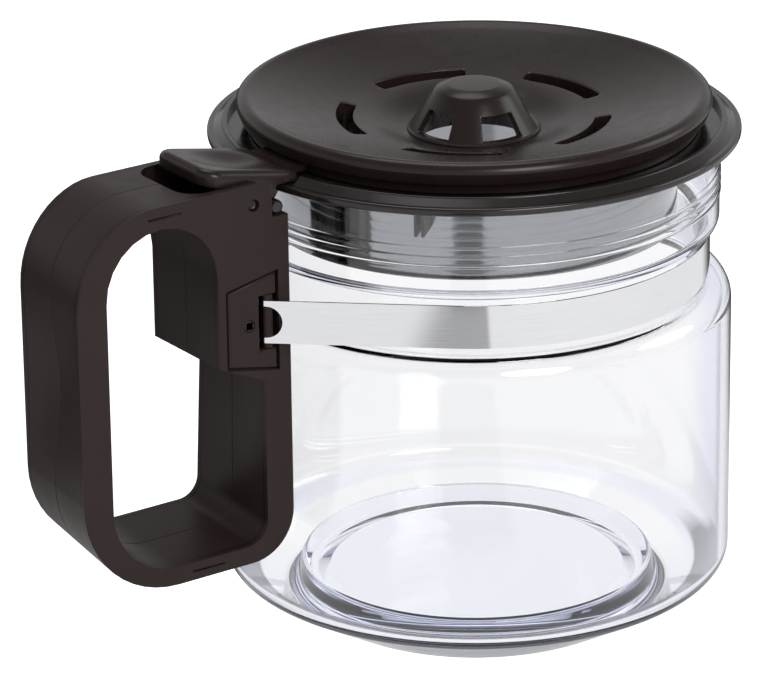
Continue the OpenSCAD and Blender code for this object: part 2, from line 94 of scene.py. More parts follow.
class NodeMaker:
    """A node tree with short calls to add and join nodes."""

    def __init__(self, owner: bpy.types.Material | bpy.types.World) -> None:
        """Empties the node tree of a new material or world.

        Args:
            owner: The material or world.
        """
        self.owner = owner
        owner.use_nodes = True
        self.tree = owner.node_tree
        self.tree.nodes.clear()
        is_world = isinstance(owner, bpy.types.World)
        self.output = self.add("ShaderNodeOutputWorld" if is_world else "ShaderNodeOutputMaterial")

    @classmethod
    def material(cls, name: str) -> "NodeMaker":
        """Starts a new material of that name."""
        return cls(bpy.data.materials.new(name))

    def add(self, kind: str, **inputs: object) -> bpy.types.Node:
        """Adds a node.

        Args:
            kind: Blender's name of the node type.
            **inputs: Values of its sockets, with spaces written as underscores.

        Returns:
            The new node.
        """
        node = self.tree.nodes.new(kind)
        for key, value in inputs.items():
            node.inputs[key.replace("_", " ")].default_value = value
        return node

    def join(self, source: Socket, target: Socket) -> None:
        """Links one socket to another."""
        self.tree.links.new(source, target)

    def place(self, stretch: Place = (1.0, 1.0, 1.0)) -> Socket:
        """Adds the piece's own coordinates, stretched.

        Args:
            stretch: Factors along X, Y and Z.

        Returns:
            The socket with the coordinates.
        """
        coordinates = self.add("ShaderNodeTexCoord")
        mapping = self.add("ShaderNodeMapping", Scale=stretch)
        self.join(coordinates.outputs["Object"], mapping.inputs["Vector"])
        return mapping.outputs["Vector"]

    def noise(self, vector: Socket, scale: float, detail: float = 3.0) -> Socket:
        """Adds a noise texture.

        Args:
            vector: The coordinates that it reads.
            scale: Its scale, per metre.
            detail: How many finer layers it has.

        Returns:
            The socket with its value.
        """
        texture = self.add("ShaderNodeTexNoise", Scale=scale, Detail=detail)
        self.join(vector, texture.inputs["Vector"])
        return texture.outputs["Fac"]

    def spread(self, value: Socket, low: float, high: float) -> Socket:
        """Maps a noise value to a range.

        Args:
            value: The noise value.
            low: The result where the noise is low.
            high: The result where the noise is high.

        Returns:
            The socket with the result.
        """
        node = self.add("ShaderNodeMapRange", From_Min=NOISE_LOW, From_Max=NOISE_HIGH, To_Min=low, To_Max=high)
        self.join(value, node.inputs["Value"])
        return node.outputs["Result"]

    def tones(self, value: Socket, low: Colour, high: Colour) -> Socket:
        """Runs between two colours along a noise value."""
        return self.stops(value, (NOISE_LOW, low), (NOISE_HIGH, high))

    def stops(self, value: Socket, *stops: tuple[float, Colour]) -> Socket:
        """Runs through colours along a value.

        Args:
            value: The value.
            *stops: The colours, each after the value at which it stands.

        Returns:
            The socket with the colour.
        """
        ramp = self.add("ShaderNodeValToRGB")
        elements = ramp.color_ramp.elements
        for index, (position, colour) in enumerate(stops):
            element = elements[index] if index < len(elements) else elements.new(position)
            element.position = position
            element.color = (*colour, 1.0)
        self.join(value, ramp.inputs["Fac"])
        return ramp.outputs["Color"]

    def bump(self, height: Socket, strength: float, depth_mm: float) -> Socket:
        """Adds a bump.

        Args:
            height: The socket with the height.
            strength: How much of the bump shows.
            depth_mm: The depth of the relief.

        Returns:
            The socket with the bent normal.
        """
        node = self.add("ShaderNodeBump", Strength=strength, Distance=depth_mm*MM)
        self.join(height, node.inputs["Height"])
        return node.outputs["Normal"]

    def math(self, operation: str, first: Value, second: Value) -> Socket:
        """Adds a sum of two numbers or another operation on them.

        Args:
            operation: Blender's name of the operation.
            first: The first number, or a socket that gives it.
            second: The second number, or a socket that gives it.

        Returns:
            The socket with the result.
        """
        node = self.add("ShaderNodeMath")
        node.operation = operation
        for socket, value in zip(node.inputs, (first, second)):
            if isinstance(value, Socket):
                self.join(value, socket)
            else:
                socket.default_value = value
        return node.outputs[0]

    def times(self, first: Value, second: Value) -> Socket:
        """Multiplies two numbers."""
        return self.math("MULTIPLY", first, second)

    def vector_math(self, operation: str, vector: Socket) -> bpy.types.Node:
        """Adds an operation on a vector.

        Args:
            operation: Blender's name of the operation.
            vector: The socket with the vector.

        Returns:
            The new node.
        """
        node = self.add("ShaderNodeVectorMath")
        node.operation = operation
        self.join(vector, node.inputs[0])
        return node

    def step(self, value: Socket, start: float, end: float) -> Socket:
        """Adds a soft step from 0 to 1.

        Args:
            value: The value that it follows.
            start: Where the result is still 0.
            end: Where the result is 1.

        Returns:
            The socket with the result.
        """
        node = self.add("ShaderNodeMapRange", From_Min=start, From_Max=end)
        node.interpolation_type = "SMOOTHSTEP"
        self.join(value, node.inputs["Value"])
        return node.outputs["Result"]

    def along(self, vector: Socket, direction: Vector) -> Socket:
        """Adds a vector's length along a direction.

        Args:
            vector: The socket with the vector.
            direction: The direction.

        Returns:
            The socket with the length.
        """
        node = self.vector_math("DOT_PRODUCT", vector)
        node.inputs[1].default_value = direction
        return node.outputs["Value"]

    def finish(self, shader: bpy.types.Node) -> None:
        """Joins the shader to the output."""
        self.join(shader.outputs[0], self.output.inputs["Surface"])


def shaded(colour: Colour, share: float) -> Colour:
    """A colour made lighter or darker."""
    return tuple(share*part for part in colour)


@dataclass(frozen=True)
class Plastic:
    """A moulded plastic with a fine eroded grain.

    Attributes:
        slot: The record's material slot.
        colour: The base colour, linear.
        roughness: The mean roughness.
        specular: The specular level.
        grain_mm: The depth of the grain.
        joint_mm: How far from the middle plane a fine joint line runs, or 0 for none.
        joint_fade_mm: How far from the joint line its dark ends and the plain colour begins.
        index: The refractive index.
        tones: How dark and how light its clouds are, as shares of the colour.
        rough_range: How far the roughness strays below and above its mean.
        cloud_scale: The scale of the clouds, per metre.
        smear_scale: The scale of the roughness, per metre.
        smear_stretch: How the roughness is drawn out along X, Y and Z.
        grain_scale: The scale of the grain, per metre.
        grain_share: How much of the grain shows.
    """

    slot: str
    colour: Colour
    roughness: float
    specular: float
    grain_mm: float
    joint_mm: float = 0.0
    joint_fade_mm: Pair = (0.08, 0.26)
    index: float = 1.5
    tones: Pair = (0.93, 1.07)
    rough_range: Pair = (0.02, 0.03)
    cloud_scale: float = 38.0
    smear_scale: float = 240.0
    smear_stretch: Place = (1.0, 1.0, 0.25)
    grain_scale: float = 2600.0
    grain_share: float = 0.35

    def build(self) -> bpy.types.Material:
        """Makes the material.

        Returns:
            The material.
        """
        maker = NodeMaker.material(FINISH_NAME.format(self.slot))
        shader = maker.add("ShaderNodeBsdfPrincipled", IOR=self.index, Specular_IOR_Level=self.specular)
        place = maker.place()
        dark, light = (shaded(self.colour, share) for share in self.tones)
        tone = maker.tones(maker.noise(place, self.cloud_scale), dark, light)
        if self.joint_mm:
            tone = self.with_joint(maker, tone)
        maker.join(tone, shader.inputs["Base Color"])
        below, above = self.rough_range
        smear = maker.noise(maker.place(self.smear_stretch), self.smear_scale)
        roughness = maker.spread(smear, self.roughness - below, self.roughness + above)
        maker.join(roughness, shader.inputs["Roughness"])
        grain = maker.noise(place, self.grain_scale, detail=2.0)
        maker.join(maker.bump(grain, self.grain_share, self.grain_mm), shader.inputs["Normal"])
        maker.finish(shader)
        return maker.owner

    def with_joint(self, maker: NodeMaker, tone: Socket) -> Socket:
        """Draws the joint line over a colour, on both sides of the middle plane.

        Args:
            maker: The material's nodes.
            tone: The socket with the colour.

        Returns:
            The socket with the colour and its line.
        """
        across = maker.math("ABSOLUTE", maker.along(maker.place(), Vector((0.0, 1.0, 0.0))), 0.0)
        off_line = maker.math("ABSOLUTE", maker.math("SUBTRACT", across, self.joint_mm*MM), 0.0)
        line_end, plain_start = (away*MM for away in self.joint_fade_mm)
        lined = maker.vector_math("SCALE", tone)
        maker.join(maker.step(off_line, line_end, plain_start), lined.inputs["Scale"])
        return lined.outputs["Vector"]


@dataclass(frozen=True)
class Metal:
    """A rolled or polished metal with fine lines along its run.

    Attributes:
        slot: The record's material slot.
        colour: The reflected colour, linear.
        roughness: The mean roughness.
        line_mm: The depth of the rolling lines.
        line_tone: How dark the lines are, as a share of the colour.
        line_scale: The scale of the lines, per metre.
        line_stretch: How the lines are drawn out along X, Y and Z.
        line_share: How much of their relief shows.
        rough_range: The lowest and highest roughness, as shares of its mean.
    """

    slot: str
    colour: Colour
    roughness: float
    line_mm: float
    line_tone: float = 0.93
    line_scale: float = 5200.0
    line_stretch: Place = (0.02, 0.02, 1.0)
    line_share: float = 0.2
    rough_range: Pair = (0.8, 1.25)

    def build(self) -> bpy.types.Material:
        """Makes the material.

        Returns:
            The material.
        """
        maker = NodeMaker.material(FINISH_NAME.format(self.slot))
        shader = maker.add("ShaderNodeBsdfPrincipled", Metallic=1.0)
        lines = maker.noise(maker.place(self.line_stretch), self.line_scale, detail=2.0)
        dark = shaded(self.colour, self.line_tone)
        maker.join(maker.tones(lines, dark, self.colour), shader.inputs["Base Color"])
        low, high = (share*self.roughness for share in self.rough_range)
        maker.join(maker.spread(lines, low, high), shader.inputs["Roughness"])
        maker.join(maker.bump(lines, self.line_share, self.line_mm), shader.inputs["Normal"])
        maker.finish(shader)
        return maker.owner


@dataclass(frozen=True)
class Glass:
    """Clear blown glass: faintly wavy, with painted shade in its colour: cool where it turns away and dark
    where it is seen edge on.

    Attributes:
        slot: The record's material slot.
        index: The refractive index.
        tint: The colour that its depth leaves.
        density: How fast its depth takes light, per metre.
        cool: The painted colour of a wall that turns away, the pale start of its painted edge shade.
        edge: The painted shade of a wall that is seen edge on.
        clear_to: How far a wall turns away, from 0 to 1, and is still clear.
        cool_turn: How far it turns where it becomes cool, and where that ends.
        edge_from: How far it turns where its painted edge shade is full.
        heel_z: The heights in millimetres between which the painted shade begins to darken the heel sooner.
        heel_r: The distances from the axis in millimetres between which it does.
        heel_gain: How much sooner.
        wave_mm: The depth of the waviness.
        wave_scale: The scale of the waviness, per metre.
        wave_stretch: How it is drawn out along X, Y and Z.
        wave_share: How much of it shows.
    """

    slot: str
    index: float
    tint: Colour
    density: float
    cool: Colour
    edge: Colour
    clear_to: float = 0.50
    cool_turn: Pair = (0.70, 0.80)
    edge_from: float = 0.89
    heel_z: Pair = (18.0, 12.6)
    heel_r: Pair = (53.0, 57.24)
    heel_gain: float = 0.36
    wave_mm: float = 0.12
    wave_scale: float = 26.0
    wave_stretch: Place = (1.0, 1.0, 0.6)
    wave_share: float = 0.25

    def build(self) -> bpy.types.Material:
        """Makes the material.

        Returns:
            The material.
        """
        maker = NodeMaker.material(FINISH_NAME.format(self.slot))
        shader = maker.add("ShaderNodeBsdfPrincipled", IOR=self.index, Roughness=0.0, Transmission_Weight=1.0)
        # Painted shade: the colour runs from clear through cool to dark as a wall turns edge on, and sooner at
        # the heel.
        facing = maker.add("ShaderNodeLayerWeight", Blend=0.5).outputs["Facing"]
        turned = maker.math("ADD", facing, self.heel(maker))
        cool_stops = ((turn, self.cool) for turn in self.cool_turn)
        tone = maker.stops(turned, (self.clear_to, WHITE), *cool_stops, (self.edge_from, self.edge))
        maker.join(tone, shader.inputs["Base Color"])
        wave = maker.noise(maker.place(self.wave_stretch), self.wave_scale, detail=1.0)
        maker.join(maker.bump(wave, self.wave_share, self.wave_mm), shader.inputs["Normal"])
        depth = maker.add("ShaderNodeVolumeAbsorption", Color=(*self.tint, 1.0), Density=self.density)
        maker.join(depth.outputs["Volume"], maker.output.inputs["Volume"])
        maker.finish(shader)
        return maker.owner

    def heel(self, maker: NodeMaker) -> Socket:
        """Adds how much sooner the painted shade darkens the heel.

        Args:
            maker: The material's nodes.

        Returns:
            The socket with the amount, 0 away from the heel.
        """
        height = maker.along(maker.place(), UP)
        reach = maker.vector_math("LENGTH", maker.place((1.0, 1.0, 0.0))).outputs["Value"]
        low = maker.step(height, *(z*MM for z in self.heel_z))
        wide = maker.step(reach, *(r*MM for r in self.heel_r))
        return maker.times(maker.times(low, wide), self.heel_gain)


class Palette(Enum):
    """The carafe's finishes."""

    # The glass's cool and edge colours are painted shade where its walls turn away or are seen edge on.
    GLASS = Glass("glass", index=1.5, tint=(0.70, 0.74, 0.92), density=15.0, cool=(0.80, 0.83, 0.95),
                  edge=(0.05, 0.055, 0.065))
    BAND = Metal("band_steel", colour=(0.86, 0.865, 0.89), roughness=0.06, line_mm=0.001)
    SLEEVE = Metal("sleeve_steel", colour=(0.34, 0.347, 0.37), roughness=0.10, line_mm=0.002)
    COLLAR = Plastic("collar_plastic", colour=(0.014, 0.010, 0.010), roughness=0.15, specular=0.55,
                     grain_mm=0.005)
    HANDLE = Plastic("handle_plastic", colour=(0.028, 0.0175, 0.0160), roughness=0.38, specular=0.20,
                     grain_mm=0.016, joint_mm=12.9)
    LID = Plastic("lid_plastic", colour=(0.019, 0.0115, 0.0105), roughness=0.27, specular=0.34,
                  grain_mm=0.008)
    DARK_STEEL = Metal("dark_steel", colour=(0.055, 0.050, 0.050), roughness=0.35, line_mm=0.004)

    def material(self) -> bpy.types.Material:
        """The finish's material, made at its first use."""
        return bpy.data.materials.get(FINISH_NAME.format(self.value.slot)) or self.value.build()


def dress(mesh: BMesh, name: str, node: str, body: Body, finish: Palette,
          sharp_deg: float = 38.0) -> bpy.types.Object:
    """Makes a finished mesh into a piece that stands for its CAD node.

    Args:
        mesh: The mesh, in millimetres. It is used up.
        name: The piece's name.
        node: The CAD node that it replaces.
        body: The body that it rides on.
        finish: Its finish.
        sharp_deg: Edges that turn more than this stay sharp.

    Returns:
        The piece.
    """
    bmesh.ops.scale(mesh, vec=(MM, MM, MM), verts=mesh.verts)
    data = bpy.data.meshes.new(name)
    mesh.to_mesh(data)
    mesh.free()
    data.shade_smooth()
    data.set_sharp_from_angle(angle=math.radians(sharp_deg))
    data.materials.append(finish.material())
    piece = bpy.data.objects.new(name, data)
    piece.modifiers.new("flat_faces", "WEIGHTED_NORMAL").keep_sharp = True
    bpy.context.scene.collection.objects.link(piece)
    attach(piece, body.value)
    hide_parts(node)
    LOG.info("%s stands for %s with %d faces", name, node, len(data.polygons))
    return piece


def close_up(mesh: BMesh) -> BMesh:
    """Merges the doubles of a closed mesh and turns its faces outwards.

    Args:
        mesh: The mesh, in millimetres.

    Returns:
        The same mesh.
    """
    bmesh.ops.remove_doubles(mesh, verts=mesh.verts, dist=MERGE_MM)
    bmesh.ops.recalc_face_normals(mesh, faces=mesh.faces)
    return mesh


def add_mesh(target: BMesh, part: BMesh) -> None:
    """Adds a closed mesh to another and frees it.

    Args:
        target: The mesh that grows.
        part: The mesh that is added.
    """
    data = bpy.data.meshes.new("part")
    part.to_mesh(data)
    part.free()
    target.from_mesh(data)
    bpy.data.meshes.remove(data)


def bevel(mesh: BMesh, edges: Sequence[BMEdge], width: float, segments: int = 3, clamp: bool = True) -> None:
    """Rounds edges.

    Args:
        mesh: The mesh.
        edges: Its edges to round.
        width: The rounding's width in millimetres.
        segments: How many faces the rounding has across.
        clamp: Whether the width gives way where edges are short.
    """
    bmesh.ops.bevel(mesh, geom=list(edges), offset=width, offset_type="OFFSET", segments=segments, profile=0.5,
                    affect="EDGES", material=-1, clamp_overlap=clamp)


def corners(edges: Iterable[BMEdge], angle: float = CORNER) -> list[BMEdge]:
    """Picks the edges whose faces meet at more than an angle in radians."""
    return [e for e in edges if e.calc_face_angle(0.0) > angle]


def only(geometry: Iterable[object], kind: type) -> list:
    """Picks the verts, edges or faces out of an operator's result."""
    return [part for part in geometry if isinstance(part, kind)]


def spun(mesh: BMesh, degrees: float, axis: str) -> None:
    """Turns a mesh about an axis through the origin."""
    turn = Matrix.Rotation(math.radians(degrees), 3, axis)
    bmesh.ops.rotate(mesh, cent=(0, 0, 0), matrix=turn, verts=mesh.verts)


def at_height(low: Pair, high: Pair, z: float) -> Pair:
    """The point at a height on the line through two points, as (x, z)."""
    return low[0] + (high[0] - low[0])*(z - low[1])/(high[1] - low[1]), z


def cut(mesh: BMesh, point: Vector, normal: Vector, picks: Callable[[BMFace], bool]) -> None:
    """Cuts some faces of a mesh along a plane.

    Args:
        mesh: The mesh.
        point: A point of the plane.
        normal: The plane's normal.
        picks: Says whether a face is cut.
    """
    faces = [f for f in mesh.faces if picks(f)]
    geometry = {*faces, *(e for f in faces for e in f.edges), *(v for f in faces for v in f.verts)}
    bmesh.ops.bisect_plane(mesh, geom=list(geometry), dist=MERGE_MM, plane_co=point, plane_no=normal)


def ease(value: float, start: float, end: float) -> float:
    """A soft step.

    Args:
        value: The value that it follows.
        start: Where the result is still 0.
        end: Where the result is 1.

    Returns:
        The result.
    """
    share = min(1.0, max(0.0, (value - start)/(end - start)))
    return share*share*(3.0 - 2.0*share)


def rod(start: Vector, end: Vector, radius: float, edge: float, segments: int = 40) -> BMesh:
    """Makes a round bar with softened ends.

    Args:
        start: The middle of one end.
        end: The middle of the other end.
        radius: The bar's radius.
        edge: The width of the softened edge.
        segments: How many sides it has.

    Returns:
        The closed mesh.
    """
    mesh = bmesh.new()
    run = end - start
    place = Matrix.Translation((start + end)/2) @ run.to_track_quat("Z", "Y").to_matrix().to_4x4()
    bmesh.ops.create_cone(mesh, cap_ends=True, segments=segments, radius1=radius, radius2=radius,
                          depth=run.length, matrix=place)
    bevel(mesh, corners(mesh.edges), edge, segments=2)
    return mesh


class Profile:
    """A chain of edges drawn in the plane y = 0, with x the distance from the axis."""

    def __init__(self, x: float, z: float) -> None:
        """Starts the chain at a point.

        Args:
            x: The point's distance from the axis.
            z: The point's height.
        """
        self.mesh = bmesh.new()
        self.first = self.mesh.verts.new((x, 0.0, z))
        self.tip = self.first

    def line(self, *points: Pair) -> "Profile":
        """Draws straight lines.

        Args:
            *points: The points that they pass through, as (x, z).

        Returns:
            The profile.
        """
        for x, z in points:
            grown = bmesh.ops.extrude_vert_indiv(self.mesh, verts=[self.tip])
            self.tip = grown["verts"][0]
            self.tip.co = (x, 0.0, z)
        return self

    def arc(self, x: float, z: float, turn: float, steps: int = 8) -> "Profile":
        """Draws an arc from the chain's end.

        Args:
            x: The centre's distance from the axis.
            z: The centre's height.
            turn: How far it turns about the centre in degrees, from x towards z.
            steps: How many edges it has.

        Returns:
            The profile.
        """
        swept = bmesh.ops.spin(self.mesh, geom=[self.tip], cent=(x, 0.0, z), axis=(0.0, -1.0, 0.0),
                               angle=math.radians(turn), steps=steps, use_duplicate=False)
        self.tip = only(swept["geom_last"], BMVert)[0]
        return self

    def rounded(self, corner: Pair, beyond: Pair, radius: float,
                steps: int = 8) -> "Profile":
        """Draws a line towards a corner and rounds it.

        Args:
            corner: The corner, as (x, z).
            beyond: A point that the chain goes on towards.
            radius: The rounding's radius.
            steps: How many edges the rounding has.

        Returns:
            The profile.
        """
        point = Vector(corner)
        back = (self.tip.co.xz - point).normalized()
        onward = (Vector(beyond) - point).normalized()
        half = back.angle(onward)/2
        turn = 180.0 - math.degrees(2*half)
        centre = point + (back + onward).normalized()*radius/math.sin(half)
        self.line(tuple(point + back*radius/math.tan(half)))
        return self.arc(*centre, turn if back.cross(onward) < 0.0 else -turn, steps)

    def close(self) -> "Profile":
        """Joins the chain's end to its start."""
        self.mesh.edges.new((self.tip, self.first))
        return self

    def lathe(self) -> BMesh:
        """Turns the chain all round the axis.

        Returns:
            The closed mesh.
        """
        bmesh.ops.spin(self.mesh, geom=[*self.mesh.verts, *self.mesh.edges], cent=(0, 0, 0), axis=(0, 0, 1),
                       angle=2*math.pi, steps=TURN_STEPS, use_merge=True, use_duplicate=False)
        return close_up(self.mesh)

    def segment(self, start: float, end: float) -> BMesh:
        """Turns the closed chain from one angle about the axis to another, with both ends capped.

        Args:
            start: The first angle in degrees.
            end: The last angle in degrees.

        Returns:
            The closed mesh.
        """
        bmesh.ops.contextual_create(self.mesh, geom=self.mesh.edges[:])
        spun(self.mesh, start, "Z")
        steps = max(1, round((end - start)*TURN_STEPS/360))
        bmesh.ops.spin(self.mesh, geom=[*self.mesh.verts, *self.mesh.edges, *self.mesh.faces], cent=(0, 0, 0),
                       axis=(0, 0, 1), angle=math.radians(end - start), steps=steps, use_duplicate=False)
        return close_up(self.mesh)

    def slab(self, low: float, high: float) -> BMesh:
        """Makes the closed chain solid along Y, with x turned to the handle's side.

        Args:
            low: The lower Y.
            high: The upper Y.

        Returns:
            The closed mesh.
        """
        bmesh.ops.contextual_create(self.mesh, geom=self.mesh.edges[:])
        grown = bmesh.ops.extrude_face_region(self.mesh, geom=self.mesh.faces[:])
        bmesh.ops.translate(self.mesh, vec=(0, high - low, 0), verts=only(grown["geom"], BMVert))
        bmesh.ops.translate(self.mesh, vec=(0, low, 0), verts=self.mesh.verts)
        bmesh.ops.scale(self.mesh, vec=(-1, 1, 1), verts=self.mesh.verts)
        return close_up(self.mesh)


def open_windows(mesh: BMesh, centres: Sequence[float], half: float,
                 picks: Callable[[BMFace], bool]) -> list[BMEdge]:
    """Cuts windows through a lathed wall and lines them.

    Args:
        mesh: The closed wall.
        centres: The windows' angles about the axis in degrees.
        half: Half a window's angle in degrees.
        picks: Says whether a face is in the windows' band of the wall.

    Returns:
        The corner edges of the windows' linings.
    """
    found = []
    for centre in centres:
        inside = [f for f in mesh.faces if picks(f) and abs(angle_from(f.calc_center_median(), centre)) < half]
        bmesh.ops.delete(mesh, geom=inside, context="FACES")
        rims = [e for e in mesh.edges if e.is_boundary]
        lining = bmesh.ops.bridge_loops(mesh, edges=rims)["faces"]
        found += corners(e for f in lining for e in f.edges if all(g in lining for g in e.link_faces))
    return list(dict.fromkeys(found))


def angle_from(point: Vector, centre: float) -> float:
    """The angle of a point about the axis, from a direction.

    Args:
        point: The point.
        centre: The direction in degrees.

    Returns:
        The angle in degrees, between -180 and 180.
    """
    angle = math.degrees(math.atan2(point.y, point.x)) - centre
    return (angle + 180.0) % 360.0 - 180.0


def cad_copy(node: str) -> BMesh:
    """Copies a CAD node's mesh, with its flat faces whole again.

    Args:
        node: The node's name.

    Returns:
        The closed mesh in millimetres.
    """
    mesh = bmesh.new()
    mesh.from_mesh(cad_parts[node].data)
    bmesh.ops.scale(mesh, vec=(1/MM, 1/MM, 1/MM), verts=mesh.verts)
    bmesh.ops.remove_doubles(mesh, verts=mesh.verts, dist=MERGE_MM)
    bmesh.ops.dissolve_limit(mesh, angle_limit=math.radians(FLAT_DEG), verts=mesh.verts, edges=mesh.edges)
    return mesh


@dataclass
class Vessel:
    """The blown glass vessel."""

    body_r: float = 64.0
    wall: float = 2.4
    foot_r: float = 42.0
    foot_w: float = 1.6
    foot_rise: float = 0.8
    punt_top: float = 12.0
    heel_slope: float = 30.0
    heel_r: float = 6.0
    heel_z: float = 16.166
    groove_r: float = 58.0
    groove_low: float = 87.0
    groove_high: float = 101.0
    neck_r: float = 60.8
    rim_z: float = 124.4
    ridge_z: tuple[float, ...] = (110.0, 112.4, 114.8)
    ridge_h: float = 0.3
    ridge_w: float = 0.52
    ridge_flank: float = 0.7
    recess_round: float = 2.0
    foot_round_in: float = 0.6
    foot_round_out: float = 3.0
    valley_round: float = 2.2
    punt_round: float = 1.5
    smooth_deg: float = 60.0

    def build(self) -> None:
        """Makes the vessel."""
        shoulder = self.body_r - self.groove_r
        bend = self.neck_r - self.groove_r
        heel_x = self.body_r - self.heel_r
        slope = math.radians(self.heel_slope)
        heel_low = (heel_x + self.heel_r*math.sin(slope), self.heel_z - self.heel_r*math.cos(slope))
        inner_r = self.heel_r - self.wall
        inner_low = (heel_x + inner_r*math.sin(slope), self.heel_z - inner_r*math.cos(slope))
        recess_r = self.foot_r - self.foot_w
        punt_r = self.foot_r + self.wall
        valley_r = punt_r + self.foot_w
        valley = (valley_r, inner_low[1] - (inner_low[0] - valley_r)*math.tan(slope))
        chain = Profile(0.0, self.foot_rise)
        chain.rounded((recess_r - 2*self.foot_w, self.foot_rise), (recess_r, 0.0), self.recess_round)
        chain.rounded((recess_r, 0.0), (self.foot_r, 0.0), self.foot_round_in, steps=5)
        chain.rounded((self.foot_r, 0.0), heel_low, self.foot_round_out, steps=5)
        chain.line(heel_low)
        chain.arc(heel_x, self.heel_z, 90.0 - self.heel_slope, steps=12)
        chain.line((self.body_r, self.groove_low - shoulder))
        chain.arc(self.groove_r, self.groove_low - shoulder, 90.0, steps=12)
        chain.line((self.groove_r, self.groove_high))
        chain.arc(self.groove_r, self.groove_high + bend, 90.0, steps=10)
        flank_r = self.neck_r + self.ridge_flank*self.ridge_h
        for z in self.ridge_z:
            chain.line((self.neck_r, z - self.ridge_w), (flank_r, z - self.ridge_w/2))
            chain.line((self.neck_r + self.ridge_h, z), (flank_r, z + self.ridge_w/2))
            chain.line((self.neck_r, z + self.ridge_w))
        chain.line((self.neck_r, self.rim_z - self.wall/2))
        chain.arc(self.neck_r - self.wall/2, self.rim_z - self.wall/2, 180.0, steps=12)
        chain.line((self.neck_r - self.wall, self.groove_high + bend))
        chain.arc(self.groove_r, self.groove_high + bend, -90.0, steps=4)
        chain.arc(self.groove_r, self.groove_high, 90.0)
        chain.line((self.groove_r - self.wall, self.groove_low))
        chain.arc(self.groove_r, self.groove_low, 90.0)
        chain.arc(self.groove_r, self.groove_low - shoulder, -90.0, steps=12)
        chain.line((self.body_r - self.wall, self.heel_z))
        chain.arc(heel_x, self.heel_z, self.heel_slope - 90.0, steps=12)
        chain.rounded(valley, (punt_r, self.punt_top), self.valley_round, steps=10)
        chain.rounded((punt_r, self.punt_top), (0.0, self.punt_top), self.punt_round)
        chain.line((0.0, self.punt_top))
        vessel = dress(chain.lathe(), "vessel", "glass_vessel", Body.SERVER, Palette.GLASS, self.smooth_deg)
        # Clear glass lets the lamps' light through, which a traced shadow would block.
        vessel.visible_shadow = False


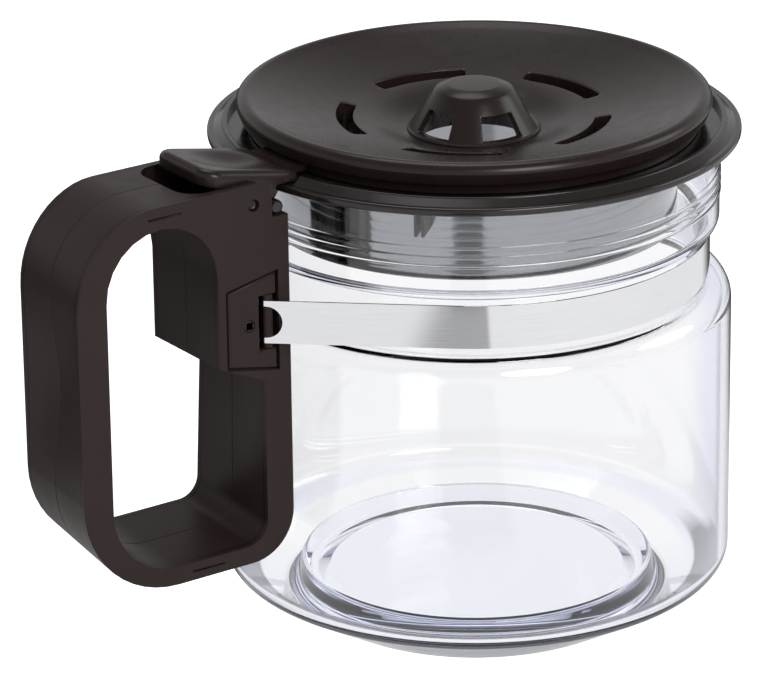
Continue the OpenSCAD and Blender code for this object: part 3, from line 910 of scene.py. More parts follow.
@dataclass
class NeckRing:
    """The collar in the neck and the polished sleeve that hangs from it."""

    rim_z: float = 124.45
    ledge_z: float = 126.45
    flange_r: float = 66.0
    spigot_r: float = 49.65
    spigot_t: float = 1.2
    spigot_h: float = 5.0
    upstand_r: float = 61.0
    upstand_t: float = 1.4
    upstand_h: float = 1.7
    notch_half: float = 12.6
    sleeve_r: float = 50.5
    sleeve_t: float = 0.8
    sleeve_low: float = 103.45
    sleeve_gap: float = 0.05
    fin_out: float = 58.0
    fin_t: float = 0.8
    fin_pitch: float = 1.7
    fin_h: float = 8.0
    fin_turns: tuple[float, ...] = (221.0, 341.0, 101.0)
    pin: Pair = (75.1, 124.2)
    eye_r: float = 3.6
    eye_y: float = 9.2
    eye_t: float = 2.6
    eye_lap: float = 2.0
    bar: Pair = (67.7, 122.0)
    bar_r: float = 1.7
    bar_half: float = 13.6
    bar_edge: float = 0.7
    edge: float = 0.35

    def build(self) -> None:
        """Makes the collar and the sleeve."""
        collar = self.flange()
        add_mesh(collar, self.upstand())
        for turn in self.fin_turns:
            for side in Side:
                add_mesh(collar, self.fin(turn, side.value))
        for side in Side:
            add_mesh(collar, self.eye(side))
        x, z = self.bar
        add_mesh(collar, rod(Vector((-x, -self.bar_half, z)), Vector((-x, self.bar_half, z)), self.bar_r,
                             self.bar_edge))
        dress(collar, "collar_ring", "collar", Body.SERVER, Palette.COLLAR)
        dress(self.sleeve(), "sleeve", "neck_sleeve", Body.SERVER, Palette.SLEEVE)

    def flange(self) -> BMesh:
        """The flat flange and its spigot.

        Returns:
            The closed mesh.
        """
        edge = self.edge
        inner = self.spigot_r - self.spigot_t
        low = self.rim_z - self.spigot_h
        chain = Profile(inner, low + edge)
        chain.arc(inner + edge, low + edge, 90.0, steps=3)
        chain.line((self.spigot_r - edge, low))
        chain.arc(self.spigot_r - edge, low + edge, 90.0, steps=3)
        chain.line((self.spigot_r, self.rim_z), (self.flange_r - 2*edge, self.rim_z))
        chain.arc(self.flange_r - 2*edge, self.rim_z + 2*edge, 90.0, steps=5)
        chain.line((self.flange_r, self.ledge_z - 2*edge))
        chain.arc(self.flange_r - 2*edge, self.ledge_z - 2*edge, 90.0, steps=5)
        chain.line((inner + edge, self.ledge_z))
        chain.arc(inner + edge, self.ledge_z - edge, 90.0, steps=3)
        return chain.close().lathe()

    def upstand(self) -> BMesh:
        """The low wall round the lid, open at the lever.

        Returns:
            The closed mesh.
        """
        edge = self.edge
        half = math.degrees(math.asin(self.notch_half/self.upstand_r))
        top = self.ledge_z + self.upstand_h
        outer = self.upstand_r + self.upstand_t
        chain = Profile(self.upstand_r, self.ledge_z - edge)
        chain.line((self.flange_r - 3*edge, self.ledge_z - edge), (outer, top - edge))
        chain.arc(outer - edge, top - edge, 90.0, steps=4)
        chain.line((self.upstand_r + edge, top))
        chain.arc(self.upstand_r + edge, top - edge, 90.0, steps=4)
        return chain.close().segment(half - 180.0, 180.0 - half)

    def fin(self, turn: float, side: int) -> BMesh:
        """One of a pair of centring fins.

        Args:
            turn: The pair's angle about the axis in degrees.
            side: Which fin of the pair, as a sign.

        Returns:
            The closed mesh.
        """
        inner = self.sleeve_r + self.edge
        mesh = bmesh.new()
        bmesh.ops.create_cube(mesh, size=1.0)
        bmesh.ops.scale(mesh, vec=(self.fin_out - inner, self.fin_t, self.fin_h + self.edge), verts=mesh.verts)
        middle = ((self.fin_out + inner)/2, side*self.fin_pitch/2, self.rim_z - (self.fin_h - self.edge)/2)
        bmesh.ops.translate(mesh, vec=middle, verts=mesh.verts)
        bevel(mesh, mesh.edges[:], self.edge/2, segments=2)
        spun(mesh, turn, "Z")
        return mesh

    def eye(self, side: Side) -> BMesh:
        """One of the two ears that the pin goes through.

        Args:
            side: The ear's side.

        Returns:
            The closed mesh.
        """
        x, z = self.pin
        bar_x, bar_z = self.bar
        root = self.flange_r - self.eye_lap
        chain = Profile(root, self.ledge_z - self.edge)
        chain.line((x, z + self.eye_r))
        chain.arc(x, z, -180.0, steps=16)
        chain.line((bar_x, bar_z - self.bar_r), (bar_x - self.bar_r, bar_z), (root, self.rim_z + self.edge))
        low, high = sorted((side.value*self.eye_y, side.value*(self.eye_y - self.eye_t)))
        mesh = chain.close().slab(low, high)
        bevel(mesh, corners(mesh.edges), self.edge, segments=2)
        return mesh

    def sleeve(self) -> BMesh:
        """The polished sleeve, with a rolled lower edge.

        Returns:
            The closed mesh.
        """
        roll = self.sleeve_t/2
        inner = self.sleeve_r - self.sleeve_t
        chain = Profile(inner, self.sleeve_low + roll)
        chain.arc(inner + roll, self.sleeve_low + roll, 180.0)
        top = self.rim_z - self.sleeve_gap
        chain.line((self.sleeve_r, top), (inner, top))
        return chain.close().lathe()


@dataclass
class LidTop:
    """The dished lid and the vented dome that snaps into it."""

    lid_r: float = 58.8
    crest_z: float = 134.8
    crest_r: float = 2.4
    crest_turn: float = 110.0
    lip_r: float = 53.6
    lip_z: float = 133.9
    dish_z: float = 126.5
    dish_rings: tuple[float, ...] = (16.5, 18.0, 19.5, 21.0, 22.5, 24.0, 25.5, 39.5, 43.0, 50.5, 52.4)
    thick: float = 2.0
    rim_low: float = 129.5
    rim_t: float = 1.8
    rim_taper: float = 1.0
    rest_r: float = 55.8
    rest_low: float = 126.85
    ring_t: float = 1.6
    locate_r: float = 47.9
    locate_low: float = 122.85
    hole_r: float = 15.2
    slot_in: float = 30.0
    slot_out: float = 34.0
    slot_half: float = 22.0
    slot_corner: float = 1.3
    slot_rim_angle: float = 0.9
    slot_turns: tuple[float, ...] = (80.0, 152.0, 224.0, 296.0, 8.0)
    rib_in: float = 27.6
    rib_out: float = 36.4
    rib_low: float = 119.0
    tongue_half: float = 8.4
    tongue_top: float = 129.1
    stake_x: float = 51.0
    stake_y: float = 5.0
    stake_r: float = 1.2
    stake_edge: float = 0.2
    stake_ends: Pair = (-1.9, 0.3)
    boss_edge: float = 0.1
    dome_r: float = 16.5
    dip: float = 1.6
    dip_r: float = 27.0
    dome_seat: float = 124.95
    dome_top: float = 136.25
    dome_t: float = 1.5
    flat_r: float = 6.8
    shoulder_r: float = 9.9
    shoulder_z: float = 134.85
    crown: tuple[Pair, ...] = ((-0.8, 0.0), (0.1, -0.12), (0.9, -0.45))
    brow: tuple[Pair, ...] = ((-0.7, 0.5), (-0.1, -0.1))
    brow_drop: float = 1.0
    toe: tuple[Pair, ...] = ((-0.4, 0.0), (-0.2, -0.1), (0.0, -0.3))
    toe_h: float = 0.6
    skirt_in: float = 14.0
    skirt_gap: float = 0.2
    barb: tuple[Pair, ...] = ((0.0, 0.0), (0.5, -0.4), (0.0, -1.6))
    window_turns: tuple[float, ...] = (190.0, 262.0, 334.0, 46.0, 118.0)
    window_half: float = 20.0
    window_low: float = 125.75
    window_high: float = 131.4
    window_corner: float = 1.0
    window_edge: float = 0.25
    window_rim_angle: float = 0.8
    edge: float = 0.4

    def build(self) -> None:
        """Makes the lid and the dome."""
        lid = self.dish()
        add_mesh(lid, self.rest_ring())
        for side in Side:
            add_mesh(lid, self.stake(side))
        dress(lid, "lid_shell", "lid", Body.LID, Palette.LID)
        dress(self.dome(), "dome", "drip_dome", Body.LID, Palette.LID)

    def height(self, r: float) -> float:
        """The height of the dish's upper face at a radius."""
        rise = (self.lip_z - self.dish_z)/(self.lip_r**2 - self.dome_r**2)
        return self.dish_z + rise*(r**2 - self.dome_r**2) - self.dip*ease(r, self.dip_r, self.dome_r)

    def dish(self) -> BMesh:
        """The dish with its rolled rim, locating ring and deep slots.

        Returns:
            The closed mesh.
        """
        inner = self.locate_r - self.ring_t
        steps_at = (self.rib_in, self.slot_in, self.slot_out, self.rib_out, inner, self.locate_r)
        stops = sorted((*self.dish_rings, *steps_at))
        crest_x, crest_z = self.lid_r - self.crest_r, self.crest_z - self.crest_r
        start = math.radians(self.crest_turn)
        edge = self.edge
        chain = Profile(self.hole_r, self.height(self.hole_r))
        chain.line(*((r, self.height(r)) for r in stops), (self.lip_r, self.lip_z))
        chain.line((crest_x + self.crest_r*math.cos(start), crest_z + self.crest_r*math.sin(start)))
        chain.arc(crest_x, crest_z, -self.crest_turn, steps=14)
        rim_r = self.lid_r - self.rim_taper
        chain.line((rim_r, self.rim_low + edge))
        chain.arc(rim_r - edge, self.rim_low + edge, -90.0, steps=4)
        chain.line((self.lid_r - self.rim_t, self.rim_low), (self.lid_r - self.rim_t, crest_z))
        chain.line((self.lip_r, self.lip_z - self.thick))
        for r in reversed(stops):
            under = (r, self.height(r) - self.thick)
            if r == self.locate_r:
                chain.line(under, (r, self.locate_low))
            elif r == inner:
                chain.line((r, self.locate_low), under)
            elif r == self.rib_out:
                chain.line(under, (r, self.rib_low))
            elif r in (self.slot_out, self.slot_in):
                chain.line((r, self.rib_low))
            elif r == self.rib_in:
                chain.line((r, self.rib_low), under)
            else:
                chain.line(under)
        chain.line((self.hole_r, self.height(self.hole_r) - self.thick))
        mesh = chain.close().lathe()
        slot_corners = open_windows(mesh, self.slot_turns, self.slot_half, self.in_slot_band)
        bevel(mesh, slot_corners, self.slot_corner, segments=4)
        low, high = self.slot_in - NEAR_MM, self.slot_out + NEAR_MM
        rims = (e for e in mesh.edges if low < e.verts[0].co.xy.length < high)
        bevel(mesh, corners(rims, self.slot_rim_angle), self.edge, segments=2)
        return mesh

    def in_slot_band(self, face: BMFace) -> bool:
        """Whether a face of the dish lies between the slots' radii."""
        return self.slot_in < face.calc_center_median().xy.length < self.slot_out

    def rest_ring(self) -> BMesh:
        """The ring that the lid rests on, open at the lever's tongue.

        Returns:
            The closed mesh.
        """
        half = math.degrees(math.asin(self.tongue_half/self.rest_r))
        inner = self.rest_r - self.ring_t
        chain = Profile(inner, self.rest_low)
        chain.line((self.rest_r, self.rest_low), (self.rest_r, self.lip_z - self.thick/2))
        chain.line((inner, self.lip_z - self.thick/2))
        return chain.close().segment(half - 180.0, 180.0 - half)

    def stake(self, side: Side) -> BMesh:
        """A boss under the lid with the stake that holds the lever's tongue.

        Args:
            side: The stake's side.

        Returns:
            The closed mesh.
        """
        base = Vector((-self.stake_x, side.value*self.stake_y, self.tongue_top))
        boss_h = self.height(self.stake_x) - self.thick/2 - self.tongue_top
        mesh = rod(base, base + boss_h*UP, 2*self.stake_r, self.boss_edge)
        low, high = (base + end*UP for end in self.stake_ends)
        add_mesh(mesh, rod(low, high, self.stake_r, self.stake_edge))
        return mesh

    def dome(self) -> BMesh:
        """The vented dome with its snap skirt.

        Returns:
            The closed mesh.
        """
        foot = self.dome_seat + self.toe_h
        foot_r = self.dome_r + self.toe[0][0]
        skirt_out = self.hole_r - self.skirt_gap
        barb_z = self.height(self.hole_r) - self.thick - self.skirt_gap
        inner_top = (self.shoulder_r - self.dome_t, self.shoulder_z - self.dome_t/2)
        shoulder = (self.shoulder_r, self.shoulder_z)
        bends = (self.shoulder_z - self.brow_drop, self.window_high, self.window_low)
        sills = (self.window_low, self.window_high)
        chain = Profile(0.0, self.dome_top)
        chain.line(*((self.flat_r + x, self.dome_top + z) for x, z in self.crown))
        chain.line(*((self.shoulder_r + x, self.shoulder_z + z) for x, z in self.brow))
        chain.line(*(at_height((foot_r, foot), shoulder, z) for z in bends))
        chain.line(*((self.dome_r + x, foot + z) for x, z in self.toe))
        chain.line((self.dome_r, self.dome_seat), (skirt_out, self.dome_seat))
        chain.line(*((skirt_out + x, barb_z + z) for x, z in self.barb))
        chain.line((self.skirt_in, barb_z + self.barb[-1][1]), (self.skirt_in, foot))
        chain.line(*(at_height((self.skirt_in, foot), inner_top, z) for z in sills), inner_top)
        ceiling = self.dome_top - self.dome_t
        chain.line((self.flat_r - self.dome_t/2, ceiling), (0.0, ceiling))
        mesh = chain.lathe()
        window_corners = open_windows(mesh, self.window_turns, self.window_half, self.in_window_band)
        bevel(mesh, window_corners, self.window_corner)
        low, high = self.window_low - NEAR_MM, self.window_high + NEAR_MM
        rims = (e for e in mesh.edges if all(low < v.co.z < high for v in e.verts))
        bevel(mesh, corners(rims, self.window_rim_angle), self.window_edge, segments=2)
        return mesh

    def in_window_band(self, face: BMFace) -> bool:
        """Whether a face of the dome lies between the windows' sills and heads."""
        return self.window_low < face.calc_center_median().z < self.window_high


@dataclass
class Band:
    """The steel band in the vessel's groove, with two hooked prongs at each end."""

    outer_r: float = 58.55
    middle_z: float = 94.0
    half_h: float = 5.4
    thick: float = 0.5
    post: Pair = (70.9, 12.7)
    hook_r: float = 2.0
    hook_turn: float = 150.0
    hook_steps: int = 14
    notch_r: float = 4.0
    notch_rows: int = 12

    def build(self) -> None:
        """Makes the band."""
        x, y = self.post
        reach = math.hypot(x, y)
        bend = math.pi - math.atan2(y, x) - math.acos((self.outer_r - self.hook_r)/reach)
        run = math.sqrt(reach**2 - (self.outer_r - self.hook_r)**2)
        chain = Profile(self.outer_r, self.middle_z - self.half_h)
        for row in range(self.notch_rows + 1):
            turn = math.pi*(row/self.notch_rows - 0.5)
            chain.line((self.outer_r, self.middle_z + self.notch_r*math.sin(turn)))
        chain.line((self.outer_r, self.middle_z + self.half_h))
        mesh = chain.mesh
        steps = round(math.degrees(bend)*TURN_STEPS/360)
        swept = bmesh.ops.spin(mesh, geom=[*mesh.verts, *mesh.edges], cent=(0, 0, 0), axis=(0, 0, 1),
                               angle=-bend, steps=steps, use_duplicate=False)
        along = Vector((-math.sin(bend), -math.cos(bend), 0.0))
        grown = bmesh.ops.extrude_edge_only(mesh, edges=only(swept["geom_last"], BMEdge))
        ends = only(grown["geom"], BMVert)
        for vert in ends:
            notch = max(0.0, self.notch_r**2 - (vert.co.z - self.middle_z)**2)
            vert.co += (run - math.sqrt(notch))*along
        prongs = [e for e in only(grown["geom"], BMEdge) if all(v in ends for v in e.verts)
                  and all(abs(v.co.z - self.middle_z) > self.notch_r - MERGE_MM for v in e.verts)]
        prong_ends = {v for e in prongs for v in e.verts}
        bmesh.ops.spin(mesh, geom=[*prongs, *prong_ends], cent=(-x, -y, 0), axis=(0, 0, 1),
                       angle=-math.radians(self.hook_turn), steps=self.hook_steps, use_duplicate=False)
        bmesh.ops.mirror(mesh, geom=[*mesh.verts, *mesh.edges, *mesh.faces], matrix=Matrix.Identity(4),
                         merge_dist=MERGE_MM, axis="Y")
        close_up(mesh)
        # The strip is still open, so its outer face is made sure of before it gets its thickness.
        front = max(mesh.faces, key=lambda f: f.calc_center_median().x)
        if front.normal.x < 0.0:
            bmesh.ops.reverse_faces(mesh, faces=mesh.faces)
        bmesh.ops.solidify(mesh, geom=mesh.faces[:], thickness=self.thick)
        dress(close_up(mesh), "band", "steel_band", Body.SERVER, Palette.BAND)


@dataclass
class Handle:
    """The handle's two halves, its anchors and the hinge pin."""

    half_w: float = 14.4
    inside_w: float = 12.2
    pin: Pair = (75.1, 124.2)
    pin_r: float = 1.5
    pin_sunk: float = 1.0
    pin_edge: float = 0.3
    pin_sides: int = 48
    dimple_rim: float = 0.35
    dimple_depth: float = 0.4
    step_z: float = 120.2
    pocket_x: float = 92.4
    pocket_corner: float = 6.0
    pocket_margin: float = 0.5
    wall_tilt: float = 0.1
    wall_reach: float = 0.2
    cheek_edge: float = 1.2
    seam_edge: float = 0.22
    seam_reach: float = 1.0
    back_x: float = 120.0
    palm_z: float = 85.0
    palm_half: float = 26.0
    palm_depth: float = 2.6
    palm_rows: int = 7
    palm_columns: int = 4
    taper: float = 0.07
    taper_x: float = 97.0
    taper_below: Pair = (80.0, 70.0)
    taper_behind: Pair = (100.0, 112.0)
    taper_front: Pair = (66.0, 73.0)
    taper_lift: Pair = (80.0, 50.0)
    plate_edge: float = 0.8
    screw: Pair = (77.0, 94.0)
    head_r: float = 1.45
    head_t: float = 0.9
    shank_r: float = 0.9
    screw_l: float = 4.0
    head_sides: int = 24
    head_edge: float = 0.15
    cross_share: float = 0.62
    cross_depth: float = 0.5
    tip_l: float = 0.4
    tip_share: float = 0.3
    snap: float = 0.1
    slits: tuple[Pair, ...] = ((100.1, 126.6), (90.3, 34.9))
    slit_half: float = 4.7
    slit_reach: float = 0.9
    slit_share: float = 0.5

    def build(self) -> None:
        """Makes the halves, plates, screws and pin."""
        for side in Side:
            word = side.word
            dress(self.half(side), f"grip_{word}", f"handle_{word}", Body.SERVER, Palette.HANDLE)
            dress(self.plate(side), f"plate_{word}", f"anchor_plate_{word}", Body.SERVER, Palette.HANDLE)
            dress(self.fastener(side), f"screw_{word}", f"anchor_screw_{word}", Body.SERVER, Palette.DARK_STEEL)
        dress(self.pivot(), "pivot_pin", "hinge_pin", Body.SERVER, Palette.DARK_STEEL)

    def pivot(self) -> BMesh:
        """The hinge pin, with a sunk centre in each end.

        Returns:
            The closed mesh.
        """
        x, z = self.pin
        reach = self.half_w - self.pin_sunk
        mesh = rod(Vector((-x, -reach, z)), Vector((-x, reach, z)), self.pin_r, self.pin_edge, self.pin_sides)
        for end in [f for f in mesh.faces if len(f.verts) == self.pin_sides]:
            bmesh.ops.inset_individual(mesh, faces=[end], thickness=self.dimple_rim*self.pin_r)
            bmesh.ops.translate(mesh, vec=-self.dimple_depth*end.normal, verts=end.verts)
        return mesh

    def half(self, side: Side) -> BMesh:
        """One half of the handle, with its corners and edges rounded, its back hollowed and its loop tapered.

        Args:
            side: The half's side.

        Returns:
            The closed mesh.
        """
        mesh = cad_copy(f"handle_{side.word}")
        self.narrow_slits(mesh)
        pocket = [e for e in mesh.edges if self.in_pocket_corner(e)]
        bevel(mesh, pocket, self.pocket_corner, segments=8, clamp=False)
        bevel(mesh, [e for e in mesh.edges if self.on_seam(e)], self.seam_edge, segments=2)
        bevel(mesh, [e for e in mesh.edges if self.on_cheek(e)], self.cheek_edge, segments=4)
        self.hollow_back(mesh)
        self.taper_loop(mesh)
        return mesh

    def narrow_slits(self, mesh: BMesh) -> None:
        """Closes the snap slits to fine gaps.

        Args:
            mesh: A half of the handle.
        """
        for x, z in self.slits:
            for vert in mesh.verts:
                if abs(-vert.co.x - x) < self.slit_half and abs(vert.co.z - z) < self.slit_reach:
                    vert.co.z = z + self.slit_share*(vert.co.z - z)

    def in_pocket_corner(self, edge: BMEdge) -> bool:
        """Whether an edge is the upright corner at the back of the lever's pocket."""
        return all(abs(-v.co.x - self.pocket_x) < FLUSH_MM and abs(abs(v.co.y) - self.inside_w) < FLUSH_MM
                   and v.co.z > self.step_z - NEAR_MM for v in edge.verts)

    def on_back(self, face: BMFace) -> bool:
        """Whether a face belongs to the back wall of the grip."""
        return all(-v.co.x > self.back_x for v in face.verts)

    def hollow_back(self, mesh: BMesh) -> None:
        """Draws the middle of the grip's back in, where the palm lies.

        Args:
            mesh: A half of the handle.
        """
        for row in range(-self.palm_rows, self.palm_rows + 1):
            cut(mesh, (self.palm_z + row*self.palm_half/self.palm_rows)*UP, UP, self.on_back)
        for column in range(1, self.palm_columns):
            for side in Side:
                away = Vector((0, side.value*column*self.half_w/self.palm_columns, 0))
                cut(mesh, away, Vector((0, 1, 0)), self.on_back)
        for vert in mesh.verts:
            rise = (vert.co.z - self.palm_z)/self.palm_half
            if -vert.co.x > self.back_x and abs(rise) < 1.0:
                across = 1.0 - (vert.co.y/self.half_w)**2
                vert.co.x += self.palm_depth*math.cos(math.pi*rise/2)**2*across

    def taper_loop(self, mesh: BMesh) -> None:
        """Draws the loop in towards its left side, as the taper of a mould does.

        Args:
            mesh: A half of the handle.
        """
        for vert in mesh.verts:
            x, z = -vert.co.x, vert.co.z
            share = self.taper*(vert.co.y + self.half_w)/(2*self.half_w)
            free = max(ease(z, *self.taper_below), ease(x, *self.taper_behind))*ease(x, *self.taper_front)
            vert.co.x += share*free*(x - self.taper_x)
            vert.co.z += share*ease(z, *self.taper_lift)*(self.palm_z - z)

    def on_seam(self, edge: BMEdge) -> bool:
        """Says whether an edge runs round the outside of the seam between the halves.

        Args:
            edge: An edge of a half.

        Returns:
            True if it does.
        """
        if any(abs(v.co.y) > FLUSH_MM for v in edge.verts):
            return False
        return any(max(abs(v.co.y) for v in f.verts) > self.half_w - self.wall_reach and self.is_wall(f)
                   for f in edge.link_faces)

    def is_wall(self, face: BMFace) -> bool:
        """Whether a face runs across the handle."""
        return abs(face.normal.y) < self.wall_tilt

    def on_cheek(self, edge: BMEdge) -> bool:
        """Says whether an edge runs round the outside of a cheek.

        Args:
            edge: An edge of a half.

        Returns:
            True if it does.
        """
        if any(abs(abs(v.co.y) - self.half_w) > FLUSH_MM for v in edge.verts):
            return False
        middle = (edge.verts[0].co + edge.verts[1].co)/2
        x, z = self.pin
        at_pocket = (middle.z > self.step_z - NEAR_MM and -middle.x < self.pocket_x + self.pocket_margin
                     and math.hypot(-middle.x - x, middle.z - z) > 2*self.pin_r)
        walls = [f for f in edge.link_faces if self.is_wall(f)]
        deep = any(min(abs(v.co.y) for v in f.verts) < self.seam_reach for f in walls)
        return bool(walls) and (at_pocket or deep)

    def plate(self, side: Side) -> BMesh:
        """An anchor plate with softened outer edges.

        Args:
            side: The plate's side.

        Returns:
            The closed mesh.
        """
        mesh = cad_copy(f"anchor_plate_{side.word}")
        x, z = self.screw
        rim = (e for e in mesh.edges if all(abs(abs(v.co.y) - self.half_w) < FLUSH_MM for v in e.verts)
               and math.hypot(-e.verts[0].co.x - x, e.verts[0].co.z - z) > 2*self.head_r)
        bevel(mesh, corners(rim), self.plate_edge, segments=4)
        return mesh

    def fastener(self, side: Side) -> BMesh:
        """A small screw with a cross recess.

        Args:
            side: The screw's side.

        Returns:
            The closed mesh.
        """
        x, z = self.screw
        head_z = self.half_w - self.snap
        mesh = bmesh.new()
        bmesh.ops.create_grid(mesh, x_segments=3, y_segments=3, size=self.cross_share*self.head_r)
        arms = [f for f in mesh.faces if min(abs(part) for part in f.calc_center_median().xy) < NEAR_MM]
        rim = [e for e in mesh.edges if e.is_boundary]
        sunk = bmesh.ops.extrude_face_region(mesh, geom=arms)
        bmesh.ops.translate(mesh, vec=-self.cross_depth*UP, verts=only(sunk["geom"], BMVert))
        bmesh.ops.delete(mesh, geom=[f for f in arms if f.is_valid], context="FACES_ONLY")
        flat_r = self.head_r - self.head_edge
        ring = bmesh.ops.create_circle(mesh, segments=self.head_sides, radius=flat_r)["verts"]
        ring_edges = list({e for v in ring for e in v.link_edges})
        bmesh.ops.bridge_loops(mesh, edges=[*rim, *ring_edges])
        edges = [e for e in mesh.edges if e.is_boundary]
        head = ((self.head_r, self.head_edge), (self.head_r, self.head_t))
        shank = ((self.shank_r, self.head_t), (self.shank_r, self.screw_l - self.tip_l))
        tip = (self.tip_share*self.shank_r, self.screw_l)
        for radius, depth in (*head, *shank, tip):
            grown = bmesh.ops.extrude_edge_only(mesh, edges=edges)["geom"]
            edges = only(grown, BMEdge)
            for vert in only(grown, BMVert):
                flat = vert.co.xy.normalized()*radius
                vert.co = (flat.x, flat.y, -depth)
        bmesh.ops.contextual_create(mesh, geom=edges)
        close_up(mesh)
        spun(mesh, -90.0*side.value, "X")
        bmesh.ops.translate(mesh, vec=(-x, side.value*head_z, z), verts=mesh.verts)
        return mesh


@dataclass
class Lever:
    """The thumb lever: a moulded shell with a scooped pad, and a tongue under the lid."""

    half_w: float = 11.8
    front: Pair = (60.8, 129.1)
    back: Pair = (86.9, 134.3)
    lip: float = 4.0
    skirt_run: float = 5.6
    shelf: Pair = (66.4, 126.85)
    tip: Pair = (68.4, 124.2)
    pin: Pair = (75.1, 124.2)
    lobe_r: float = 4.2
    bore_r: float = 1.6
    bore_turn: float = 359.3
    shell: float = 2.0
    web_inset: float = 0.3
    web_drop: float = 1.0
    web_back: float = 4.0
    corner: float = 5.0
    pad_edge: float = 2.0
    pad_level: float = 0.97
    cell: float = 1.0
    scoop_x: float = 73.0
    scoop_long: float = 11.0
    scoop_wide: float = 8.8
    scoop_depth: float = 1.7
    scoop_power: float = 1.5
    tongue_in: float = 48.8
    tongue_half: float = 8.0
    tongue_t: float = 1.8
    tongue_lap: float = 0.3

    def build(self) -> None:
        """Makes the lever."""
        mesh = self.pad()
        for side in Side:
            add_mesh(mesh, self.web(side))
        add_mesh(mesh, self.tongue())
        dress(mesh, "thumb_pad", "thumb_lever", Body.LID, Palette.LID)

    def pad(self) -> BMesh:
        """The sloping pad with its rounded rim and the scoop for the thumb.

        Returns:
            The closed mesh.
        """
        front_x, front_z = self.front
        back_x, back_z = self.back
        chain = Profile(front_x, -self.half_w)
        chain.rounded((back_x, -self.half_w), (back_x, self.half_w), self.corner)
        chain.rounded((back_x, self.half_w), (front_x, self.half_w), self.corner)
        chain.line((front_x, self.half_w))
        mesh = chain.close().slab(0.0, self.lip)
        spun(mesh, 90.0, "X")
        top = next(f for f in mesh.faces if self.on_pad(f))
        rim = [e for e in top.edges if max(-v.co.x for v in e.verts) > front_x + NEAR_MM]
        bevel(mesh, rim, self.pad_edge, segments=5)
        self.scoop(mesh)
        for vert in mesh.verts:
            rise = (back_z - front_z)*(-vert.co.x - front_x)/(back_x - front_x)
            vert.co.z = max(vert.co.z + front_z + rise - self.lip, self.shelf[1])
        return mesh

    def web(self, side: Side) -> BMesh:
        """One of the two side walls under the pad, with the pin's bore through it.

        Args:
            side: The wall's side.

        Returns:
            The closed mesh.
        """
        pin_x, pin_z = self.pin
        back_x, back_z = self.back
        rear = back_x - self.web_back
        chain = Profile(self.front[0], self.shelf[1])
        chain.line((self.front[0], self.front[1] - self.web_drop))
        chain.line((rear, back_z - self.lip/2), (rear, back_z - self.lip))
        chain.line((back_x - self.skirt_run, back_z - self.lip - self.skirt_run), (pin_x + self.lobe_r, pin_z))
        chain.arc(pin_x, pin_z, -180.0, steps=16)
        chain.line((pin_x - self.bore_r, pin_z))
        chain.arc(pin_x, pin_z, self.bore_turn, steps=32)
        chain.line(self.tip, self.shelf)
        outer = self.half_w - self.web_inset
        low, high = sorted((side.value*outer, side.value*(outer - self.shell)))
        return chain.close().slab(low, high)

    def on_pad(self, face: BMFace) -> bool:
        """Whether a face lies in the top of the pad."""
        return face.normal.z > self.pad_level

    def scoop(self, mesh: BMesh) -> None:
        """Presses a shallow oval into the pad for the thumb.

        Args:
            mesh: The pad, still level.
        """
        for step in range(1, round((self.back[0] - self.front[0])/self.cell)):
            cut(mesh, Vector((-self.front[0] - step*self.cell, 0, 0)), Vector((1, 0, 0)), self.on_pad)
        half_steps = round(self.half_w/self.cell)
        for step in range(1 - half_steps, half_steps):
            cut(mesh, Vector((0, step*self.cell, 0)), Vector((0, 1, 0)), self.on_pad)
        for vert in mesh.verts:
            off = math.hypot((-vert.co.x - self.scoop_x)/self.scoop_long, vert.co.y/self.scoop_wide)
            if off < 1.0 and vert.co.z > self.lip - NEAR_MM:
                vert.co.z -= self.scoop_depth*(1.0 - off*off)**self.scoop_power

    def tongue(self) -> BMesh:
        """The tongue that is staked under the lid.

        Returns:
            The closed mesh.
        """
        root, top = self.front[0] + self.tongue_lap, self.front[1]
        chain = Profile(self.tongue_in, top)
        chain.line((root, top), (root, top - self.tongue_t))
        chain.line((self.tongue_in, top - self.tongue_t))
        return chain.close().slab(-self.tongue_half, self.tongue_half)


@dataclass(frozen=True)
class Lamp:
    """A soft round lamp that faces the object.

    Attributes:
        name: The lamp's name.
        place: Where it hangs, in metres.
        size: The width of its face in metres.
        power: Its power in watts.
        aim: The point that it faces, in metres.
    """

    name: str
    place: Place
    size: float
    power: float
    aim: Place = (-0.02, 0.0, 0.07)

    def build(self) -> None:
        """Hangs the lamp."""
        data = bpy.data.lights.new(self.name, "AREA")
        data.shape = "DISK"
        data.size = self.size
        data.energy = self.power
        lamp = bpy.data.objects.new(self.name, data)
        facing = (Vector(self.aim) - Vector(self.place)).to_track_quat("-Z", "Y")
        lamp.matrix_world = Matrix.Translation(self.place) @ facing.to_matrix().to_4x4()
        bpy.context.scene.collection.objects.link(lamp)


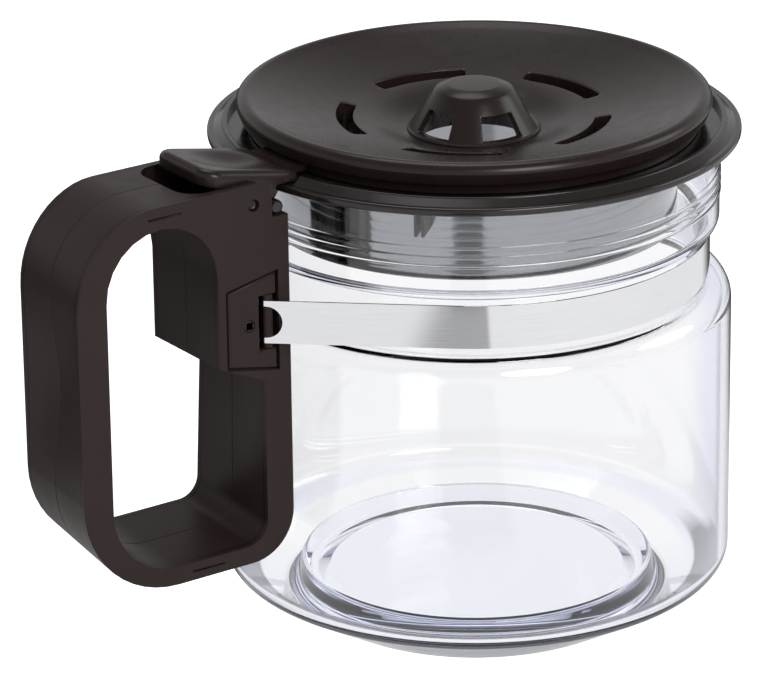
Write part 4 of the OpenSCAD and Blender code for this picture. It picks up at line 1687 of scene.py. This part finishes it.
@dataclass
class Studio:
    """The floor, backdrop, lamps and camera, in metres."""

    eye: Place = (-0.6895, -0.9490, 0.51735)
    heading: float = 34.88
    pitch: float = 20.93
    roll: float = -0.74
    focal_px: float = 5000.0
    image_w: float = 768.0
    sensor: float = 36.0
    sky: float = 0.4
    wall: float = 0.6
    ceiling: float = 0.22
    ceiling_rise: Pair = (0.3, 0.75)
    flag: float = 0.06
    flag_rise: Pair = (0.1, 0.4)
    flag_turn: Pair = (-0.15, 0.25)
    floor_half: float = 6.0
    floor_paint: float = 0.9
    floor_glow: float = 0.75
    mirror_glow: float = 0.12
    clear_glow: float = 0.85
    clear_paint: float = 0.16
    behind: float = 0.1
    behind_turn: float = 25.0
    behind_fade: Pair = (0.3, 0.6)
    card_turn: float = 4.0
    card_sides: Pair = (0.0525, 0.0405)
    card_near: Pair = (0.14, 0.16)
    card_far: Pair = (0.60, 0.55)
    card_dark: float = 0.5
    deep_near: Pair = (0.318, 0.328)
    deep_dark: float = 0.72
    lamps: tuple[Lamp, ...] = (
        Lamp("key", (-0.2, -1.5, 1.0), size=0.9, power=12.5),
        Lamp("fill", (1.4, -0.6, 0.9), size=0.9, power=4.5),
        Lamp("top", (0.2, 0.5, 1.6), size=1.0, power=5.5),
    )

    def build(self) -> None:
        """Sets the studio up."""
        scene = bpy.context.scene
        scene.view_settings.view_transform = "Standard"
        self.world(scene)
        self.floor()
        for lamp in self.lamps:
            lamp.build()
        self.camera(scene)

    def ahead(self, turn: float = 0.0) -> Vector:
        """The level direction in which the camera looks, turned left by an angle in degrees."""
        angle = math.radians(self.heading - turn)
        return Vector((math.sin(angle), math.cos(angle), 0.0))

    def camera(self, scene: bpy.types.Scene) -> None:
        """Puts the camera where the photograph was taken.

        Args:
            scene: The scene that it belongs to.
        """
        pitch, roll = math.radians(self.pitch), math.radians(self.roll)
        level = self.ahead(-90.0)
        forward = math.cos(pitch)*self.ahead() - math.sin(pitch)*UP
        upright = level.cross(forward)
        right = math.cos(roll)*level + math.sin(roll)*upright
        above = math.cos(roll)*upright - math.sin(roll)*level
        data = bpy.data.cameras.new("camera")
        data.sensor_width = self.sensor
        data.lens = self.sensor*self.focal_px/self.image_w
        camera = bpy.data.objects.new("camera", data)
        turned = Matrix((right, above, -forward)).transposed().to_4x4()
        camera.matrix_world = Matrix.Translation(self.eye) @ turned
        scene.collection.objects.link(camera)
        scene.camera = camera

    def world(self, scene: bpy.types.Scene) -> None:
        """Makes a white backdrop that fades to a dim ceiling where it is mirrored or seen through glass.

        Args:
            scene: The scene that it belongs to.
        """
        maker = NodeMaker(bpy.data.worlds.new("studio"))
        backdrop = maker.add("ShaderNodeBackground", Color=(*WHITE, 1.0))
        path = maker.add("ShaderNodeLightPath").outputs
        direction = maker.add("ShaderNodeTexCoord").outputs["Generated"]
        height = maker.along(direction, UP)
        overhead = maker.times(maker.step(height, *self.ceiling_rise), self.wall - self.ceiling)
        mirrored = maker.math("SUBTRACT", self.wall, overhead)
        flag = maker.times(maker.step(height, *self.flag_rise), 1.0 - self.flag)
        flag = maker.times(flag, maker.step(maker.along(direction, -self.ahead()), *self.flag_turn))
        clear = maker.math("SUBTRACT", 1.0, flag)
        # A ray that comes through glass counts as glossy too, so it is taken off.
        bounced = maker.math("SUBTRACT", path["Is Glossy Ray"], path["Is Transmission Ray"])
        strength = maker.times(bounced, mirrored)
        strength = maker.math("MAXIMUM", strength, maker.times(path["Is Transmission Ray"], clear))
        strength = maker.math("MAXIMUM", strength, path["Is Camera Ray"])
        diffuse = maker.times(path["Is Diffuse Ray"], self.sky)
        maker.join(maker.math("MAXIMUM", strength, diffuse), backdrop.inputs["Strength"])
        maker.finish(backdrop)
        scene.world = maker.owner

    def floor(self) -> None:
        """Lays a pale floor that keeps the object's shadow."""
        mesh = bmesh.new()
        bmesh.ops.create_grid(mesh, x_segments=1, y_segments=1, size=self.floor_half)
        data = bpy.data.meshes.new("floor")
        mesh.to_mesh(data)
        mesh.free()
        maker = NodeMaker.material("floor")
        path = maker.add("ShaderNodeLightPath").outputs
        bounced = maker.math("SUBTRACT", path["Is Glossy Ray"], path["Is Transmission Ray"])
        shade = self.shade(maker, path["Is Glossy Ray"], bounced)
        veil = maker.times(path["Is Transmission Ray"], 1.0 - self.clear_paint)
        pale = maker.times(maker.math("SUBTRACT", 1.0, veil), self.floor_paint)
        tint = maker.add("ShaderNodeCombineColor")
        for socket in tint.inputs:
            maker.join(maker.times(shade, pale), socket)
        paint = maker.add("ShaderNodeBsdfDiffuse")
        maker.join(tint.outputs[0], paint.inputs["Color"])
        glow = maker.add("ShaderNodeEmission", Color=(*WHITE, 1.0))
        seen = maker.times(path["Is Camera Ray"], self.floor_glow)
        mirrored = maker.times(bounced, maker.times(shade, self.mirror_glow))
        through = maker.times(path["Is Transmission Ray"], maker.times(shade, self.clear_glow))
        strength = maker.math("MAXIMUM", seen, maker.math("MAXIMUM", mirrored, through))
        maker.join(strength, glow.inputs["Strength"])
        both = maker.add("ShaderNodeAddShader")
        maker.join(paint.outputs[0], both.inputs[0])
        maker.join(glow.outputs[0], both.inputs[1])
        maker.finish(both)
        data.materials.append(maker.owner)
        floor = bpy.data.objects.new("floor", data)
        bpy.context.scene.collection.objects.link(floor)

    def shade(self, maker: NodeMaker, mirrored: Socket,
              bounced: Socket) -> Socket:
        """Adds the floor's shade in mirrored light: a grey card in front of the object, and dark behind it.

        Args:
            maker: The floor's nodes.
            mirrored: The socket that is 1 for light that a surface mirrors or glass lets through.
            bounced: The socket that is 1 for light that a surface mirrors straight from the floor.

        Returns:
            The socket with the shade, 1 where the floor is white.
        """
        place = maker.place()
        reach = maker.along(place, -self.ahead(-self.card_turn))
        across = maker.math("ABSOLUTE", maker.along(place, self.ahead(90.0 - self.card_turn)), 0.0)
        inside = maker.times(maker.step(across, *self.card_sides), maker.step(reach, *self.card_near))
        inside = maker.times(inside, maker.step(reach, *self.card_far))
        outward = maker.vector_math("NORMALIZE", place).outputs["Vector"]
        beyond = maker.step(maker.along(outward, self.ahead(self.behind_turn)), *self.behind_fade)
        deeper = maker.times(maker.step(reach, *self.deep_near), self.deep_dark - self.card_dark)
        card = maker.times(inside, maker.math("ADD", deeper, self.card_dark))
        card = maker.times(card, mirrored)
        beyond = maker.times(maker.times(beyond, 1.0 - self.behind), bounced)
        return maker.math("SUBTRACT", 1.0, maker.math("MAXIMUM", card, beyond))


def main() -> None:
    """Builds the carafe's sub-assemblies and the studio in order."""
    logging.basicConfig(level=logging.INFO, format="%(name)s: %(message)s")
    for assembly in (Vessel(), NeckRing(), Band(), Handle(), LidTop(), Lever(), Studio()):
        LOG.info("making %s", type(assembly).__name__)
        assembly.build()


if __name__ == "__main__":
    main()
